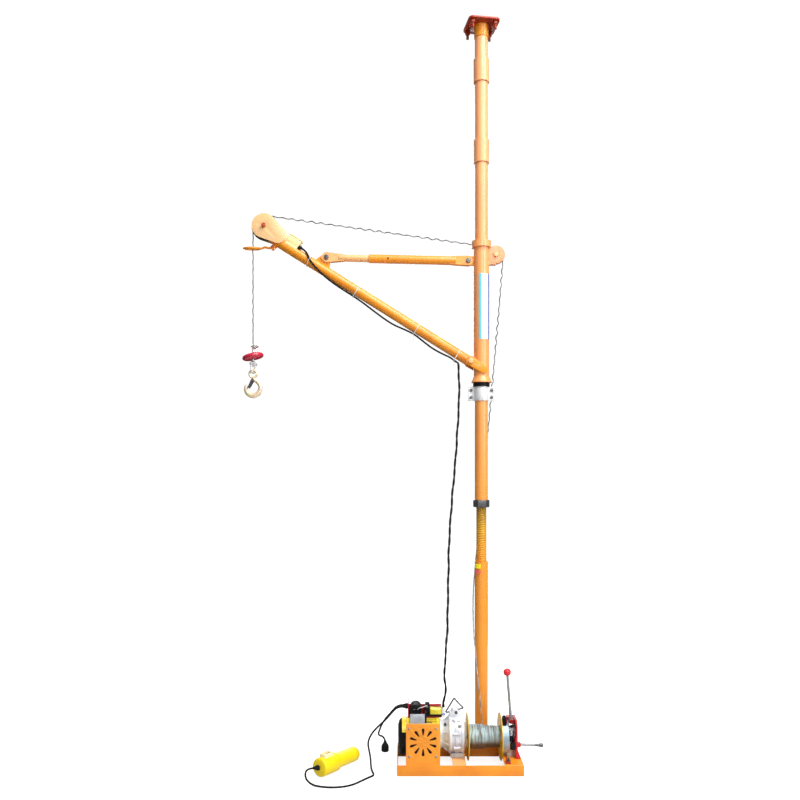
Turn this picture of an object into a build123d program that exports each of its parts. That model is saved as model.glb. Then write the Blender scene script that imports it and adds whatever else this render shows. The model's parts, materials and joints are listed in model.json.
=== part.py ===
from build123d import *
import math
import os

# Mini crane: a screw-jacked floor-to-ceiling column, a swinging jib with an adjustable stay,
# an electric winch on a base frame and a hand pendant.
# Millimetres, +Z up. The origin is on the column's axis at floor level and the jib points to -X.

# General clearances and fasteners
RUN = 0.3            # running clearance between pieces that move
FIT = 0.1            # clearance between fixed pieces
BOLT_HEAD = 1.55     # bolt head width over thread diameter
ROPE_D = 5.0         # wire rope
CABLE_D = 7.0        # electric cable

# Base frame
RAIL = 45.0          # rail height and leg width
RAIL_T = 4.0         # rail thickness
BASE_LEFT = -370.0
BASE_RIGHT = 151.0
BASE_FRONT = -238.0
REAR_RAIL_FRONT = -23.0
END_PLATE = 78.0     # width of the plate at the brake's end

# Column
POST_OD = 57.0
POST_WALL = 4.0
SCREW_OD = 45.0      # threaded inner post
SCREW_WALL = 4.0
FOOT_T = 8.0
FOOT_WIDE = 100.0
FOOT_DEEP = 70.0
LOWER_POST_L = 799.0
POST_RING_H = 30.0   # ring that guides the inner post at the top of the lower post
SCREW_SHOW = 237.0   # inner post between the lower post and the nut
SCREW_INSIDE = 280.0 # inner post inside the mast
NUT_H = 31.7
NUT_CORNERS = 72.0
MAST_L = 1528.0
SOCKET_OD = 68.0
SOCKET_L = 100.0
MIDDLE_TUBE_L = 352.0
TOP_TUBE_L = 198.0
TUBE_GAP = 2.0       # between the ends of two tubes inside a socket
FLANGE_SIDE = 138.0
FLANGE_CORNER = 22.0
FLANGE_T = 8.0
FLANGE_TURN = 8.6    # degrees
NECK_OD = 63.0
NECK_L = 52.0
CEILING_BOLT_D = 12.0
CEILING_BOLT_PCD = 141.0
CEILING_BOLT_TAIL = 20.0  # bolt below its nut
CLAMP_ABOVE_MAST = 435.0
CLAMP_H = 62.0
CLAMP_T = 4.0
CLAMP_EAR_T = 5.0
CLAMP_SPLIT = 3.0
CLAMP_HALF_WIDTH = 58.0
CLAMP_BOLT_X = 45.0
CLAMP_BOLT_PITCH = 31.0
CLAMP_BOLT_D = 8.0
THRUST_RING_H = 17.7
THRUST_RING_OD = 73.0

# Swing sleeve
SLEEVE_L = 621.0
SLEEVE_OD = 68.0
SLEEVE_ID = 62.0
COLLAR_OD = 85.0
COLLAR_H = 28.0
FLARE_OD = 90.0
FLARE_H = 29.0
FLARE_EDGE = 4.0
BUSH_L = 70.0
LUG_T = 6.0
BOOM_PIN_D = 14.0
BOOM_PIN_X = -50.0
BOOM_PIN_UP = 92.0   # above the sleeve's foot
BOOM_EYE_R = 21.0
BOOM_LUG_REACH = (58.0, -38.0)
STAY_PIN_D = 12.0
STAY_PIN_X = -58.0
STAY_PIN_UP = 535.0
STAY_EYE_R = 20.0
STAY_LUG_T = 12.0

# Guide sheave behind the column
GUIDE_X = 70.0
GUIDE_Y = 52.0
GUIDE_UP = 575.0     # above the sleeve's foot
GUIDE_ROPE_R = 32.0
GUIDE_WIDE = 16.0
GUIDE_PLATE_T = 4.0
GUIDE_AXLE_D = 12.0
GUIDE_PLATE_R = 40.0  # covers the sheave's rim
GUIDE_TAIL_R = 34.0

# Boom
BOOM_ANGLE = 32.0    # degrees above level
BOOM_OD = 45.0
BOOM_WALL = 3.5
BOOM_START = 8.0
BOOM_END = 1012.0
BOOM_BOSS_R = 15.0
HEAD_ALONG = 1078.7
HEAD_RISE = 24.0
HEAD_ROPE_R = 52.0
HEAD_SHEAVE_WIDE = 20.0
HEAD_AXLE_D = 16.0
CHEEK_T = 5.0
CHEEK_R = 54.0
CHEEK_TAIL = (1005.0, 22.0)
CHEEK_TAIL_R = 36.0
SHEAVE_RIM = 5.0     # rim above the middle of the rope
GROOVE_PLAY = 2.1    # room for the rope's slant on each side of the groove
STAY_LUG_ALONG = 777.0
STAY_LUG_RISE = 54.5
STAY_LUG_FOOT = 70.0
STAY_HOLE_PLAY = 1.5 # play of the stay's far pin, which lets the linkage work
LIMIT_PIVOT = (1000.0, -32.0)
LIMIT_PIN_D = 8.0
LIMIT_LUG_T = 4.0
LIMIT_EYE_R = 8.0
LIMIT_BAR_R = 5.0
LIMIT_RING_R = 31.5  # middle of the ring's bar
LIMIT_RING_BAR = 6.0
LIMIT_RING_AT = (-59.0, -96.5)  # from the head axle
SWITCH_BOX = (62.0, 44.0, 50.0)
SWITCH_ALONG = 934.0
SWITCH_LOW = 8.0
GLAND_L = 24.0
GLAND_D = 16.0
GLAND_PITCH = 24.0
SWITCH_GLAND = (20.0, -14.0)  # above the box's foot and in front of the boom's middle

# Stay
STAY_OUTER_OD = 38.0
STAY_OUTER_WALL = 3.0
STAY_INNER_OD = 31.0
STAY_INNER_WALL = 3.0
STAY_OUTER_END = 436.0
STAY_FORK_T = 5.0
STAY_FORK_L = 70.0
STAY_PLUG_L = 30.0
STAY_OVERLAP = 150.0
STAY_HOLE_D = 8.0
STAY_HOLE_ALONG = 353.0
STAY_HOLE_PITCH = 30.0
STAY_HOLES = 3

# Hook set, heights above the floor
CLIP_TOP = 1806.0
CLIP_H = 24.0
CLIP_R = 9.0
STEM_R = 5.0
EYE_Z = 1720.0       # middle of the rope eye
EYE_R = 9.5
EYE_BAR = 3.5
WEIGHT_OD = 95.0
WEIGHT_H = 28.0
WEIGHT_BORE = 17.6
WEIGHT_TILT = -11.0  # degrees, the left side lower
WEIGHT_Z = 1751.0
SHACKLE_BAR = 4.5
SHACKLE_R = 17.0
SHACKLE_SLACK = 3.0  # between its bow and the hook's eye
SHACKLE_PIN_OVER = 9.0
SHACKLE_TURN = 75.0  # degrees
HOOK_Z = 1608.5      # middle of the bowl
HOOK_OUTER_R = 41.5
HOOK_INNER_R = 22.0
HOOK_BOWL_RISE = 5.0
HOOK_T = 19.0
HOOK_EYE_R = 21.0
HOOK_EYE_HOLE = 11.5
HOOK_EYE_UP = 66.0   # above the middle of the bowl
HOOK_TIP_ANGLE = 150.0
HOOK_SWEEP = 205.0   # degrees from the tip to the back
LATCH_T = 3.0
LATCH_WIDE = 12.0
LATCH_PIN_D = 4.0

# Winch axis, which runs along X
AXIS_Y = -110.0
AXIS_UP = 75.0       # above the rails
SHAFT_D = 25.0
SHAFT_STUB = 6.0     # shaft beyond the end bracket
DRUM_LEFT = -72.0
DRUM_RIGHT = 70.0
DRUM_FLANGE_OD = 196.0
DRUM_FLANGE_T = 3.0
DRUM_CORE_R = 40.0
DRUM_BORE_WALL = 6.0
WIND_PITCH = 5.5
OUTER_TURNS = 11
WIND_CLEAR = 3.0     # from the middle of the last turn to a flange
BRAKE_DRUM_OD = 130.0
BRAKE_DRUM_END = 100.0
BAND_T = 4.0
BAND_WIDE = 22.0
BAND_MOUTH = 14.0
BAND_EAR = 16.0
BRACKET_T = 8.0
BRACKET_X = 127.0
BRACKET_TOP = 156.0  # above the rails
BRACKET_WIDE = 118.0
BRACKET_WINDOW_R = 15.0
BRACKET_WINDOW_Y = 36.0
LEVER_PIN_D = 8.0
LEVER_EYE_R = 11.0
LEVER_EYE_W = 13.0
EAR_T = 5.0
CLUTCH_PIN = (115.0, 140.0)   # x, height above the rails
CLUTCH_ROD_D = 9.0
CLUTCH_ROD_L = 195.0
CLUTCH_LEAN = 5.0
KNOB_D = 32.0
BRAKE_PIN = (147.0, 40.0)
BRAKE_ROD_D = 9.0
BRAKE_ROD_L = 72.0
BRAKE_GRIP_L = 34.0
BRAKE_GRIP_D = 17.0

# Motor and gearbox
MOTOR_LEFT = -332.0
MOTOR_RIGHT = -190.0
MOTOR_OD = 160.0
MOTOR_WALL = 8.0
MOTOR_END_WALL = 8.0
STATOR_L = 80.0
ROTOR_D = 84.0
MOTOR_SHAFT_D = 18.0
PINION_SHAFT_D = 13.0
FAN_OD = 124.0
FAN_T = 14.0
FAN_HUB_WALL = 6.0
FAN_BLADES = 8
FAN_BLADE_T = 3.0
FAN_COVER_LEFT = -364.0
FAN_COVER_OD = 152.0
FAN_COVER_WALL = 2.5
FAN_SLOTS = 12
FAN_SLOT_AT = 42.0   # middle of a slot from the axis
FAN_SLOT_L = 30.0
FAN_SLOT_W = 6.0
NECK_CASE_OD = 113.0
GEARBOX_LEFT = -137.0
GEARBOX_SPLIT = -108.0
GEARBOX_RIGHT = -76.0
GEARBOX_OD = 157.0
GEARBOX_RISE = 11.0  # its middle above the winch axis
GEARBOX_WALL = 6.0
GEAR_MODULE = 1.3
PINION_TEETH = 14
WHEEL_TEETH = 46
GEAR_PRESSURE = 25.0
GEAR_BACKLASH = 0.24
GEAR_FACE = 12.0
WHEEL_X = -130.0
OUTPUT_X = -112.0
COUNTER_D = 12.0
PEDESTAL_LEFT = -140.0
PEDESTAL_RIGHT = -85.0
PEDESTAL_T = 5.0
PEDESTAL_SADDLE = 80.0
GUARD_LEFT = -333.0
GUARD_RIGHT = -193.0
GUARD_H = 169.0      # above the rails
GUARD_DEEP = 40.0
GUARD_T = 3.0
GUARD_ROSE_UP = 93.0
GUARD_SLOTS = 10
GUARD_SLOT_IN = 30.0
GUARD_SLOT_OUT = 57.0
GUARD_SLOT_W = 12.0
RING_WIRE = 2.8
RING_LUG = 24.0
RING_LUG_R = 9.0
RING_LUG_T = 20.0
RING_APEX = (-126.0, 283.0)
RING_LEFT = (-160.0, 221.0)
RING_RIGHT = (-91.0, 239.0)

# Electric tray on the motor
TRAY_LEFT = -324.0
TRAY_RIGHT = -180.0
TRAY_FRONT = -114.0
TRAY_BACK = -62.0
TRAY_T = 3.0
TRAY_BACK_H = 43.0
TRAY_SIDE_H = 66.0
CAPACITOR_D = 50.0
CAPACITOR_L = 60.0
CAPACITOR_X = -290.0
RELAY = (50.0, 48.0, 28.0)
RELAY_BASE = 11.0
CONTACTOR = (22.0, 48.0, 52.0)
TERMINAL = (30.0, 48.0, 6.0)
SOCKET = (14.0, 20.0, 40.0)
BOOT_R = 6.0
BOOT_L = 18.0

# Pendant, lying on the floor
PENDANT_FROM = (-687.0, -259.0)
PENDANT_TO = (-551.0, -62.0)
PENDANT_HEAD_R = 38.0
PENDANT_HEAD_L = 104.0
PENDANT_GRIP_R = 30.0
PENDANT_WALL = 3.0
PENDANT_EDGE = 7.0   # chamfer of its ends and step
PENDANT_GLAND_D = 20.0
PENDANT_GLAND_L = 26.0
PENDANT_GLAND_TURN = -37.7  # degrees, towards the cable's loop
BUTTON_D = 19.0
BUTTON_PITCH = 27.0
BUTTON_AT = 44.0
BUTTON_STAND = 5.0
GUARD_WALL = 4.0
GUARD_RISE = 12.0
PLUG_AT = (-424.0, 42.0)
PLUG_D = 34.0
PLUG_L = 46.0

# Levels and points that follow from the sizes
Z_FOOT = RAIL + FOOT_T
Z_POST = Z_FOOT + LOWER_POST_L
Z_NUT = Z_POST + SCREW_SHOW
Z_MAST = Z_NUT + NUT_H + RUN
Z_MAST_TOP = Z_MAST + MAST_L
Z_MIDDLE = Z_MAST_TOP + TUBE_GAP
Z_MIDDLE_TOP = Z_MIDDLE + MIDDLE_TUBE_L
Z_TOP = Z_MIDDLE_TOP + TUBE_GAP
Z_TOP_TOP = Z_TOP + TOP_TUBE_L
Z_FLANGE = Z_TOP_TOP + RUN
Z_CEILING = Z_FLANGE + FLANGE_T
Z_CLAMP = Z_MAST + CLAMP_ABOVE_MAST
Z_THRUST = Z_CLAMP + CLAMP_H
Z_SLEEVE = Z_THRUST + THRUST_RING_H + RUN
Z_SLEEVE_TOP = Z_SLEEVE + SLEEVE_L
POST_R = POST_OD / 2
POST_BORE = POST_R - POST_WALL
SCREW_R = SCREW_OD / 2
SLEEVE_R = SLEEVE_OD / 2
ROPE_R = ROPE_D / 2
CABLE_R = CABLE_D / 2
AXIS_Z = RAIL + AXIS_UP
SHAFT_R = SHAFT_D / 2
BOOM_R = BOOM_OD / 2
BOOM_A = Vector(BOOM_PIN_X, 0, Z_SLEEVE + BOOM_PIN_UP)
STAY_B = Vector(STAY_PIN_X, 0, Z_SLEEVE + STAY_PIN_UP)
GUIDE_G = Vector(GUIDE_X, GUIDE_Y, Z_SLEEVE + GUIDE_UP)
ALONG = Vector(-math.cos(math.radians(BOOM_ANGLE)), 0, math.sin(math.radians(BOOM_ANGLE)))
ACROSS = Vector(math.sin(math.radians(BOOM_ANGLE)), 0, math.cos(math.radians(BOOM_ANGLE)))


def on_boom(along, rise, y=0.0):
    """A point of the boom's own frame, from its pivot."""
    return BOOM_A + ALONG * along + ACROSS * rise + Vector(0, y, 0)


HEAD_H = on_boom(HEAD_ALONG, HEAD_RISE)
STAY_C = on_boom(STAY_LUG_ALONG, STAY_LUG_RISE)
STAY_LENGTH = (STAY_C - STAY_B).length
STAY_WAY = (STAY_C - STAY_B).normalized()
FALL_X = HEAD_H.X - HEAD_ROPE_R
GUIDE_DROP_X = GUIDE_G.X + GUIDE_ROPE_R


# Shapes that many pieces use
def cyl(start, way, r, length):
    """A round bar from a point along a direction."""
    return Solid.make_cylinder(r, length, Plane(origin=start, z_dir=way))


def bar(start, end, r):
    """A round bar between two points."""
    way = Vector(*end) - Vector(*start)
    return cyl(start, way, r, way.length)


def ring(start, way, r_out, r_in, length):
    """A round tube from a point along a direction."""
    return cyl(start, way, r_out, length) - cyl(start, way, r_in, length)


def block(x0, x1, y0, y1, z0, z1):
    """A box between two corners."""
    return Solid.make_box(x1 - x0, y1 - y0, z1 - z0, Plane(origin=(x0, y0, z0)))


def side_plane(y):
    """A plane across Y whose own axes are -X and Z."""
    return Plane(origin=(0, y, 0), x_dir=(-1, 0, 0), z_dir=(0, 1, 0))


def boom_plane(y):
    """A plane across Y whose own axes lie along and above the boom."""
    return Plane(origin=on_boom(0, 0, y), x_dir=ALONG, z_dir=(0, 1, 0))


def stay_plane(y):
    """A plane across Y whose own axes lie along and above the stay."""
    return Plane(origin=STAY_B + Vector(0, y, 0), x_dir=STAY_WAY, z_dir=(0, 1, 0))


def on_stay(along):
    """A point on the stay's axis, from its pin on the sleeve."""
    return STAY_B + STAY_WAY * along


def link(plane, thick, first, first_r, second, second_r):
    """A flat link: the hull of two circles."""
    circles = [
        Edge.make_circle(first_r, Plane(origin=(*first, 0))),
        Edge.make_circle(second_r, Plane(origin=(*second, 0))),
    ]
    return extrude(plane * make_hull(circles), thick, dir=plane.z_dir)


def hexagon(start, way, corners, length, bore=0.0):
    """A hexagon bar with its corners chamfered, bored if asked."""
    plane = Plane(origin=start, z_dir=way)
    prism = extrude(plane * RegularPolygon(corners / 2, 6), length, dir=plane.z_dir)
    dome = cyl(start, way, corners / 2, length)
    dome = chamfer(dome.edges().filter_by(GeomType.CIRCLE), 0.045 * corners)
    nut = prism & dome
    return nut - cyl(start, way, bore, length) if bore else nut


def bolt(start, way, d, grip):
    """A bolt: its head before start, its shank through grip and its nut behind."""
    way = Vector(*way).normalized()
    start = Vector(*start)
    corners = 2 * BOLT_HEAD * d / math.sqrt(3) * 1.02
    head = hexagon(start - way * (0.65 * d), way, corners, 0.65 * d)
    nut = hexagon(start + way * grip, way, corners, 0.8 * d)
    return head + cyl(start, way, d / 2, grip + d) + nut


def torus(middle, axis, r, bar_r):
    """A round ring."""
    return Solid.make_torus(r, bar_r, Plane(origin=middle, z_dir=axis))


def turned(profile, origin, axis):
    """A turned piece: (distance along the axis, radius) points revolved about the axis."""
    axis = Vector(*axis)
    side = Vector(0, 0, 1) if abs(axis.Z) < 0.9 else Vector(1, 0, 0)
    plane = Plane(origin=origin, x_dir=axis, z_dir=axis.cross(side))
    face = make_face(Polyline(*profile, close=True))
    return revolve(plane * face, Axis(origin, axis))


def whole(shape):
    """The one solid of a shape."""
    solids = shape.solids()
    if len(solids) != 1:
        raise ValueError(f"{len(solids)} solids where one is meant")
    return solids[0]


def route(points, name):
    """A path of straight runs with arcs as large as the runs allow."""
    points = [Vector(*p) for p in points]
    radii = []
    for before, here, after in zip(points, points[1:], points[2:]):
        turn = (here - before).get_angle(after - here)
        run = min((here - before).length, (after - here).length)
        radii.append(0.45 * run / math.tan(math.radians(turn / 2)))
    print(name, "radii", [round(r) for r in radii], "tightest", round(min(radii), 1))
    return FilletPolyline(*points, radius=radii)


def tube_along(path, r, name):
    """A round solid along a path, with its volume set against section times length."""
    section = Plane(origin=path @ 0, z_dir=path % 0) * Circle(r)
    solid = whole(sweep(section, path=path))
    share = solid.volume / (math.pi * r * r * path.length)
    print(name, "length", round(path.length), "volume share", round(share, 4))
    return solid


def save(node, *shapes):
    """Write a node's solids."""
    solids = [s for shape in shapes for s in shape.solids()]
    os.makedirs("parts", exist_ok=True)
    export_step(Compound(children=solids), f"parts/{node}.step")


# Base frame
def base_frame():
    flat = RAIL - RAIL_T
    behind = BASE_FRONT + RAIL_T
    front = block(BASE_LEFT, BASE_RIGHT, BASE_FRONT, behind, 0, RAIL)
    front += block(BASE_LEFT, BASE_RIGHT, BASE_FRONT, BASE_FRONT + RAIL, 0, RAIL_T)
    save("base_front_rail", front)
    rear_back = REAR_RAIL_FRONT + RAIL
    rear = block(BASE_LEFT, BASE_RIGHT, REAR_RAIL_FRONT, rear_back, 0, RAIL)
    hollow = (REAR_RAIL_FRONT + RAIL_T, rear_back - RAIL_T, RAIL_T, flat)
    save("base_rear_rail", rear - block(BASE_LEFT, BASE_RIGHT, *hollow))
    between = (behind, REAR_RAIL_FRONT)
    left = block(BASE_LEFT, BASE_LEFT + RAIL_T, *between, RAIL_T, RAIL)
    right = block(BASE_RIGHT - RAIL_T, BASE_RIGHT, *between, RAIL_T, flat)
    right += block(BASE_RIGHT - END_PLATE, BASE_RIGHT, *between, flat, RAIL)
    save("base_cross_rails", left, right, pedestal())


# Column
def column():
    up = (0, 0, 1)
    foot = block(-FOOT_WIDE / 2, FOOT_WIDE / 2, -FOOT_DEEP / 2, FOOT_DEEP / 2, RAIL, Z_FOOT)
    post = foot + ring((0, 0, Z_FOOT), up, POST_R, POST_BORE, LOWER_POST_L)
    post += ring((0, 0, Z_POST - POST_RING_H), up, POST_R, SCREW_R + RUN, POST_RING_H)
    save("lower_post", post)
    screw_top = Z_MAST + SCREW_INSIDE
    save("screw_post", ring((0, 0, Z_FOOT), up, SCREW_R, SCREW_R - SCREW_WALL, screw_top - Z_FOOT))
    save("height_nut", hexagon((0, 0, Z_NUT), up, NUT_CORNERS, NUT_H, SCREW_R + RUN))
    save("mast_tube", ring((0, 0, Z_MAST), up, POST_R, POST_BORE, MAST_L))
    save("column_extensions", extension(Z_MIDDLE, MIDDLE_TUBE_L), extension(Z_TOP, TOP_TUBE_L))
    save("column_bolts", *ceiling_flange(), *column_clamp())
    thrust_r = THRUST_RING_OD / 2
    save("thrust_ring", ring((0, 0, Z_THRUST), up, thrust_r, POST_R + FIT, THRUST_RING_H))


def extension(z, length):
    """An upper tube with the socket that fits over the tube below it."""
    up = (0, 0, 1)
    half = SOCKET_L / 2
    tube = ring((0, 0, z), up, POST_R, POST_BORE, length)
    socket = ring((0, 0, z), up, SOCKET_OD / 2, POST_R - FIT, half)
    skirt = ring((0, 0, z - half), up, SOCKET_OD / 2, POST_R + FIT, half)
    return tube + socket + skirt


def ceiling_flange():
    up = (0, 0, 1)
    turn = Rot(0, 0, FLANGE_TURN)
    square = RectangleRounded(FLANGE_SIDE, FLANGE_SIDE, FLANGE_CORNER)
    plate = extrude(Pos(0, 0, Z_FLANGE) * turn * square, FLANGE_T)
    plate += ring((0, 0, Z_FLANGE - NECK_L), up, NECK_OD / 2, POST_R + FIT, NECK_L)
    bolts = []
    for k in range(4):
        angle = math.radians(FLANGE_TURN + 45 + 90 * k)
        x = CEILING_BOLT_PCD / 2 * math.cos(angle)
        y = CEILING_BOLT_PCD / 2 * math.sin(angle)
        plate -= cyl((x, y, Z_FLANGE), up, CEILING_BOLT_D / 2 + FIT, FLANGE_T)
        nut_h = 1.2 * CEILING_BOLT_D
        corners = 2 * BOLT_HEAD * CEILING_BOLT_D / math.sqrt(3)
        nut = hexagon((x, y, Z_FLANGE - nut_h), up, corners, nut_h)
        low = Z_FLANGE - nut_h - CEILING_BOLT_TAIL
        bolts.append(nut + cyl((x, y, low), up, CEILING_BOLT_D / 2, Z_CEILING - low))
    save("ceiling_flange", plate)
    return bolts


def column_clamp():
    up = (0, 0, 1)
    shell_r = POST_R + FIT + CLAMP_T
    bolt_z = [Z_CLAMP + CLAMP_H / 2 + s * CLAMP_BOLT_PITCH / 2 for s in (-1, 1)]
    far = 2 * CLAMP_HALF_WIDTH
    halves = []
    for s in (-1, 1):
        near, ear = sorted((s * CLAMP_SPLIT / 2, s * (CLAMP_SPLIT / 2 + CLAMP_EAR_T)))
        side = sorted((s * CLAMP_SPLIT / 2, s * far))
        half = cyl((0, 0, Z_CLAMP), up, shell_r, CLAMP_H) & block(-far, far, *side, Z_CLAMP, Z_THRUST)
        half += block(-CLAMP_HALF_WIDTH, CLAMP_HALF_WIDTH, near, ear, Z_CLAMP, Z_THRUST)
        half -= cyl((0, 0, Z_CLAMP), up, POST_R + FIT, CLAMP_H)
        for x in (-CLAMP_BOLT_X, CLAMP_BOLT_X):
            for z in bolt_z:
                half -= cyl((x, -far, z), (0, 1, 0), CLAMP_BOLT_D / 2 + FIT, 2 * far)
        halves.append(half)
    save("column_clamp", *halves)
    face = CLAMP_SPLIT / 2 + CLAMP_EAR_T
    places = [(x, -face, z) for x in (-CLAMP_BOLT_X, CLAMP_BOLT_X) for z in bolt_z]
    return [bolt(p, (0, 1, 0), CLAMP_BOLT_D, 2 * face) for p in places]


# Swing sleeve with its lugs and guide sheave
def swing():
    bore = SLEEVE_ID / 2
    flare = FLARE_OD / 2
    profile = [
        (0, bore),
        (0, flare),
        (FLARE_EDGE, flare),
        (FLARE_H, SLEEVE_R),
        (SLEEVE_L - COLLAR_H, SLEEVE_R),
        (SLEEVE_L - COLLAR_H, COLLAR_OD / 2),
        (SLEEVE_L, COLLAR_OD / 2),
        (SLEEVE_L, bore),
    ]
    sleeve = turned(profile, (0, 0, Z_SLEEVE), (0, 0, 1))
    save("swing_sleeve", sleeve)
    bushes = [
        ring((0, 0, z), (0, 0, 1), bore - FIT, POST_R + RUN, BUSH_L)
        for z in (Z_SLEEVE, Z_SLEEVE_TOP - BUSH_L)
    ]
    save("sleeve_bushes", *bushes)
    outside = cyl((0, 0, Z_SLEEVE), (0, 0, 1), SLEEVE_R, SLEEVE_L)
    collar = cyl((0, 0, Z_SLEEVE_TOP - COLLAR_H), (0, 0, 1), COLLAR_OD / 2, COLLAR_H)
    save("sleeve_lugs", *boom_lugs(), stay_lug(outside), guide_bracket(outside + collar))
    swing_bolts()
    guide_sheave()


def boom_lugs():
    eye = (-BOOM_A.X, BOOM_A.Z)
    heel = (-BOOM_A.X - BOOM_LUG_REACH[0], BOOM_A.Z + BOOM_LUG_REACH[1])
    hole = cyl(BOOM_A - Vector(0, COLLAR_OD, 0), (0, 1, 0), BOOM_PIN_D / 2 + FIT, 2 * COLLAR_OD)
    plates = []
    for y in (-SLEEVE_R - LUG_T, SLEEVE_R):
        plates.append(link(side_plane(y), LUG_T, eye, BOOM_EYE_R, heel, 0.75 * BOOM_EYE_R) - hole)
    return plates


def swing_bolts():
    grip = 2 * (SLEEVE_R + LUG_T)
    pivot = bolt(BOOM_A - Vector(0, grip / 2, 0), (0, 1, 0), BOOM_PIN_D, grip)
    stay_grip = STAY_LUG_T + 2 * (STAY_FORK_T + 2 * RUN)
    stay_pin = bolt(STAY_B - Vector(0, stay_grip / 2, 0), (0, 1, 0), STAY_PIN_D, stay_grip)
    axle_grip = GUIDE_WIDE + 4 * RUN + 2 * GUIDE_PLATE_T
    axle = bolt(GUIDE_G - Vector(0, axle_grip / 2, 0), (0, 1, 0), GUIDE_AXLE_D, axle_grip)
    save("swing_bolts", pivot, stay_pin, axle)


def stay_lug(outside):
    half = STAY_LUG_T / 2
    lug = cyl(STAY_B - Vector(0, half, 0), (0, 1, 0), STAY_EYE_R, STAY_LUG_T)
    lug += block(STAY_B.X, 0, -half, half, STAY_B.Z - STAY_EYE_R, STAY_B.Z + STAY_EYE_R)
    lug -= outside
    lug -= cyl(STAY_B - Vector(0, half, 0), (0, 1, 0), STAY_PIN_D / 2 + FIT, STAY_LUG_T)
    return max(lug.solids(), key=lambda s: s.volume)


def sheave(middle, rope_r, wide, hub_wide, hub_r, bore):
    """A grooved wheel that turns about Y."""
    floor = rope_r - ROPE_R - FIT
    rim = rope_r + SHEAVE_RIM
    half = wide / 2
    web = 0.3 * wide
    lip = 0.12 * wide
    groove = ROPE_R + GROOVE_PLAY
    profile = [
        (-hub_wide / 2, bore),
        (-hub_wide / 2, hub_r),
        (-web, hub_r),
        (-web, floor - 4 * lip),
        (-half, floor - 2 * lip),
        (-half, rim),
        (-half + lip, rim),
        (-groove, floor),
        (groove, floor),
        (half - lip, rim),
        (half, rim),
        (half, floor - 2 * lip),
        (web, floor - 4 * lip),
        (web, hub_r),
        (hub_wide / 2, hub_r),
        (hub_wide / 2, bore),
    ]
    return turned(profile, middle, (0, 1, 0))


def guide_bracket(outside):
    inner = GUIDE_WIDE / 2 + 2 * RUN
    g = (-GUIDE_G.X, GUIDE_G.Z)
    tail = (-0.45 * SLEEVE_R, GUIDE_G.Z - 0.2 * GUIDE_TAIL_R)
    hole = cyl(GUIDE_G - Vector(0, COLLAR_OD, 0), (0, 1, 0), GUIDE_AXLE_D / 2 + FIT, 2 * COLLAR_OD)
    front_y = GUIDE_Y - inner - GUIDE_PLATE_T
    back_y = GUIDE_Y + inner
    front = link(side_plane(front_y), GUIDE_PLATE_T, g, GUIDE_PLATE_R, tail, GUIDE_TAIL_R)
    back = link(side_plane(back_y), GUIDE_PLATE_T, g, GUIDE_PLATE_R, tail, GUIDE_TAIL_R)
    low = GUIDE_G.Z - GUIDE_ROPE_R - SHEAVE_RIM - 2 * GUIDE_PLATE_T
    web_x = (0.3 * SLEEVE_R, GUIDE_G.X)
    web = block(*web_x, front_y, back_y + GUIDE_PLATE_T, low, low + GUIDE_PLATE_T)
    front += block(*web_x, front_y, front_y + GUIDE_PLATE_T, low, GUIDE_G.Z)
    back += block(*web_x, back_y, back_y + GUIDE_PLATE_T, low, GUIDE_G.Z)
    stand = block(web_x[0], SLEEVE_R, 0.5 * SLEEVE_R, front_y, low, GUIDE_G.Z)
    bracket = front + back + web + stand - outside - hole
    return max(bracket.solids(), key=lambda s: s.volume)


def guide_sheave():
    hub_wide = GUIDE_WIDE + 2 * RUN
    wheel = sheave(
        GUIDE_G, GUIDE_ROPE_R, GUIDE_WIDE, hub_wide, 0.85 * GUIDE_AXLE_D, GUIDE_AXLE_D / 2 + RUN
    )
    save("guide_sheave", wheel)


# Boom with its head, limit gear and stay
def boom():
    gap = 2 * SLEEVE_R - 2 * RUN
    boss = cyl(BOOM_A - Vector(0, gap / 2, 0), (0, 1, 0), BOOM_BOSS_R, gap)
    length = BOOM_END - BOOM_START
    body = boss + cyl(on_boom(BOOM_START, 0), ALONG, BOOM_R, length)
    half = STAY_LUG_T / 2
    stay_at = (STAY_LUG_ALONG, STAY_LUG_RISE)
    foot_r = STAY_LUG_FOOT / 2
    foot_at = (STAY_LUG_ALONG, foot_r - BOOM_R + BOOM_WALL)
    lug = link(boom_plane(-half), STAY_LUG_T, stay_at, STAY_EYE_R, foot_at, foot_r)
    body += lug
    lug_y = LIMIT_EYE_R * 0.7
    low = LIMIT_PIVOT
    high = (LIMIT_PIVOT[0] - LIMIT_EYE_R, 0)
    for y in (-lug_y - LIMIT_LUG_T, lug_y):
        plane = boom_plane(y)
        body += link(plane, LIMIT_LUG_T, low, LIMIT_EYE_R, high, 1.2 * LIMIT_EYE_R)
    body -= cyl(on_boom(BOOM_START, 0), ALONG, BOOM_R - BOOM_WALL, length)
    body -= cyl(BOOM_A - Vector(0, gap, 0), (0, 1, 0), BOOM_PIN_D / 2 + RUN, 2 * gap)
    body -= cyl(STAY_C - Vector(0, half, 0), (0, 1, 0), STAY_PIN_D / 2 + FIT, STAY_LUG_T)
    pin_at = on_boom(*LIMIT_PIVOT)
    body -= cyl(pin_at - Vector(0, gap, 0), (0, 1, 0), LIMIT_PIN_D / 2 + FIT, 2 * gap)
    save("boom_tube", max(body.solids(), key=lambda s: s.volume))
    boom_head()
    limit_gear()
    stay()


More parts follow.
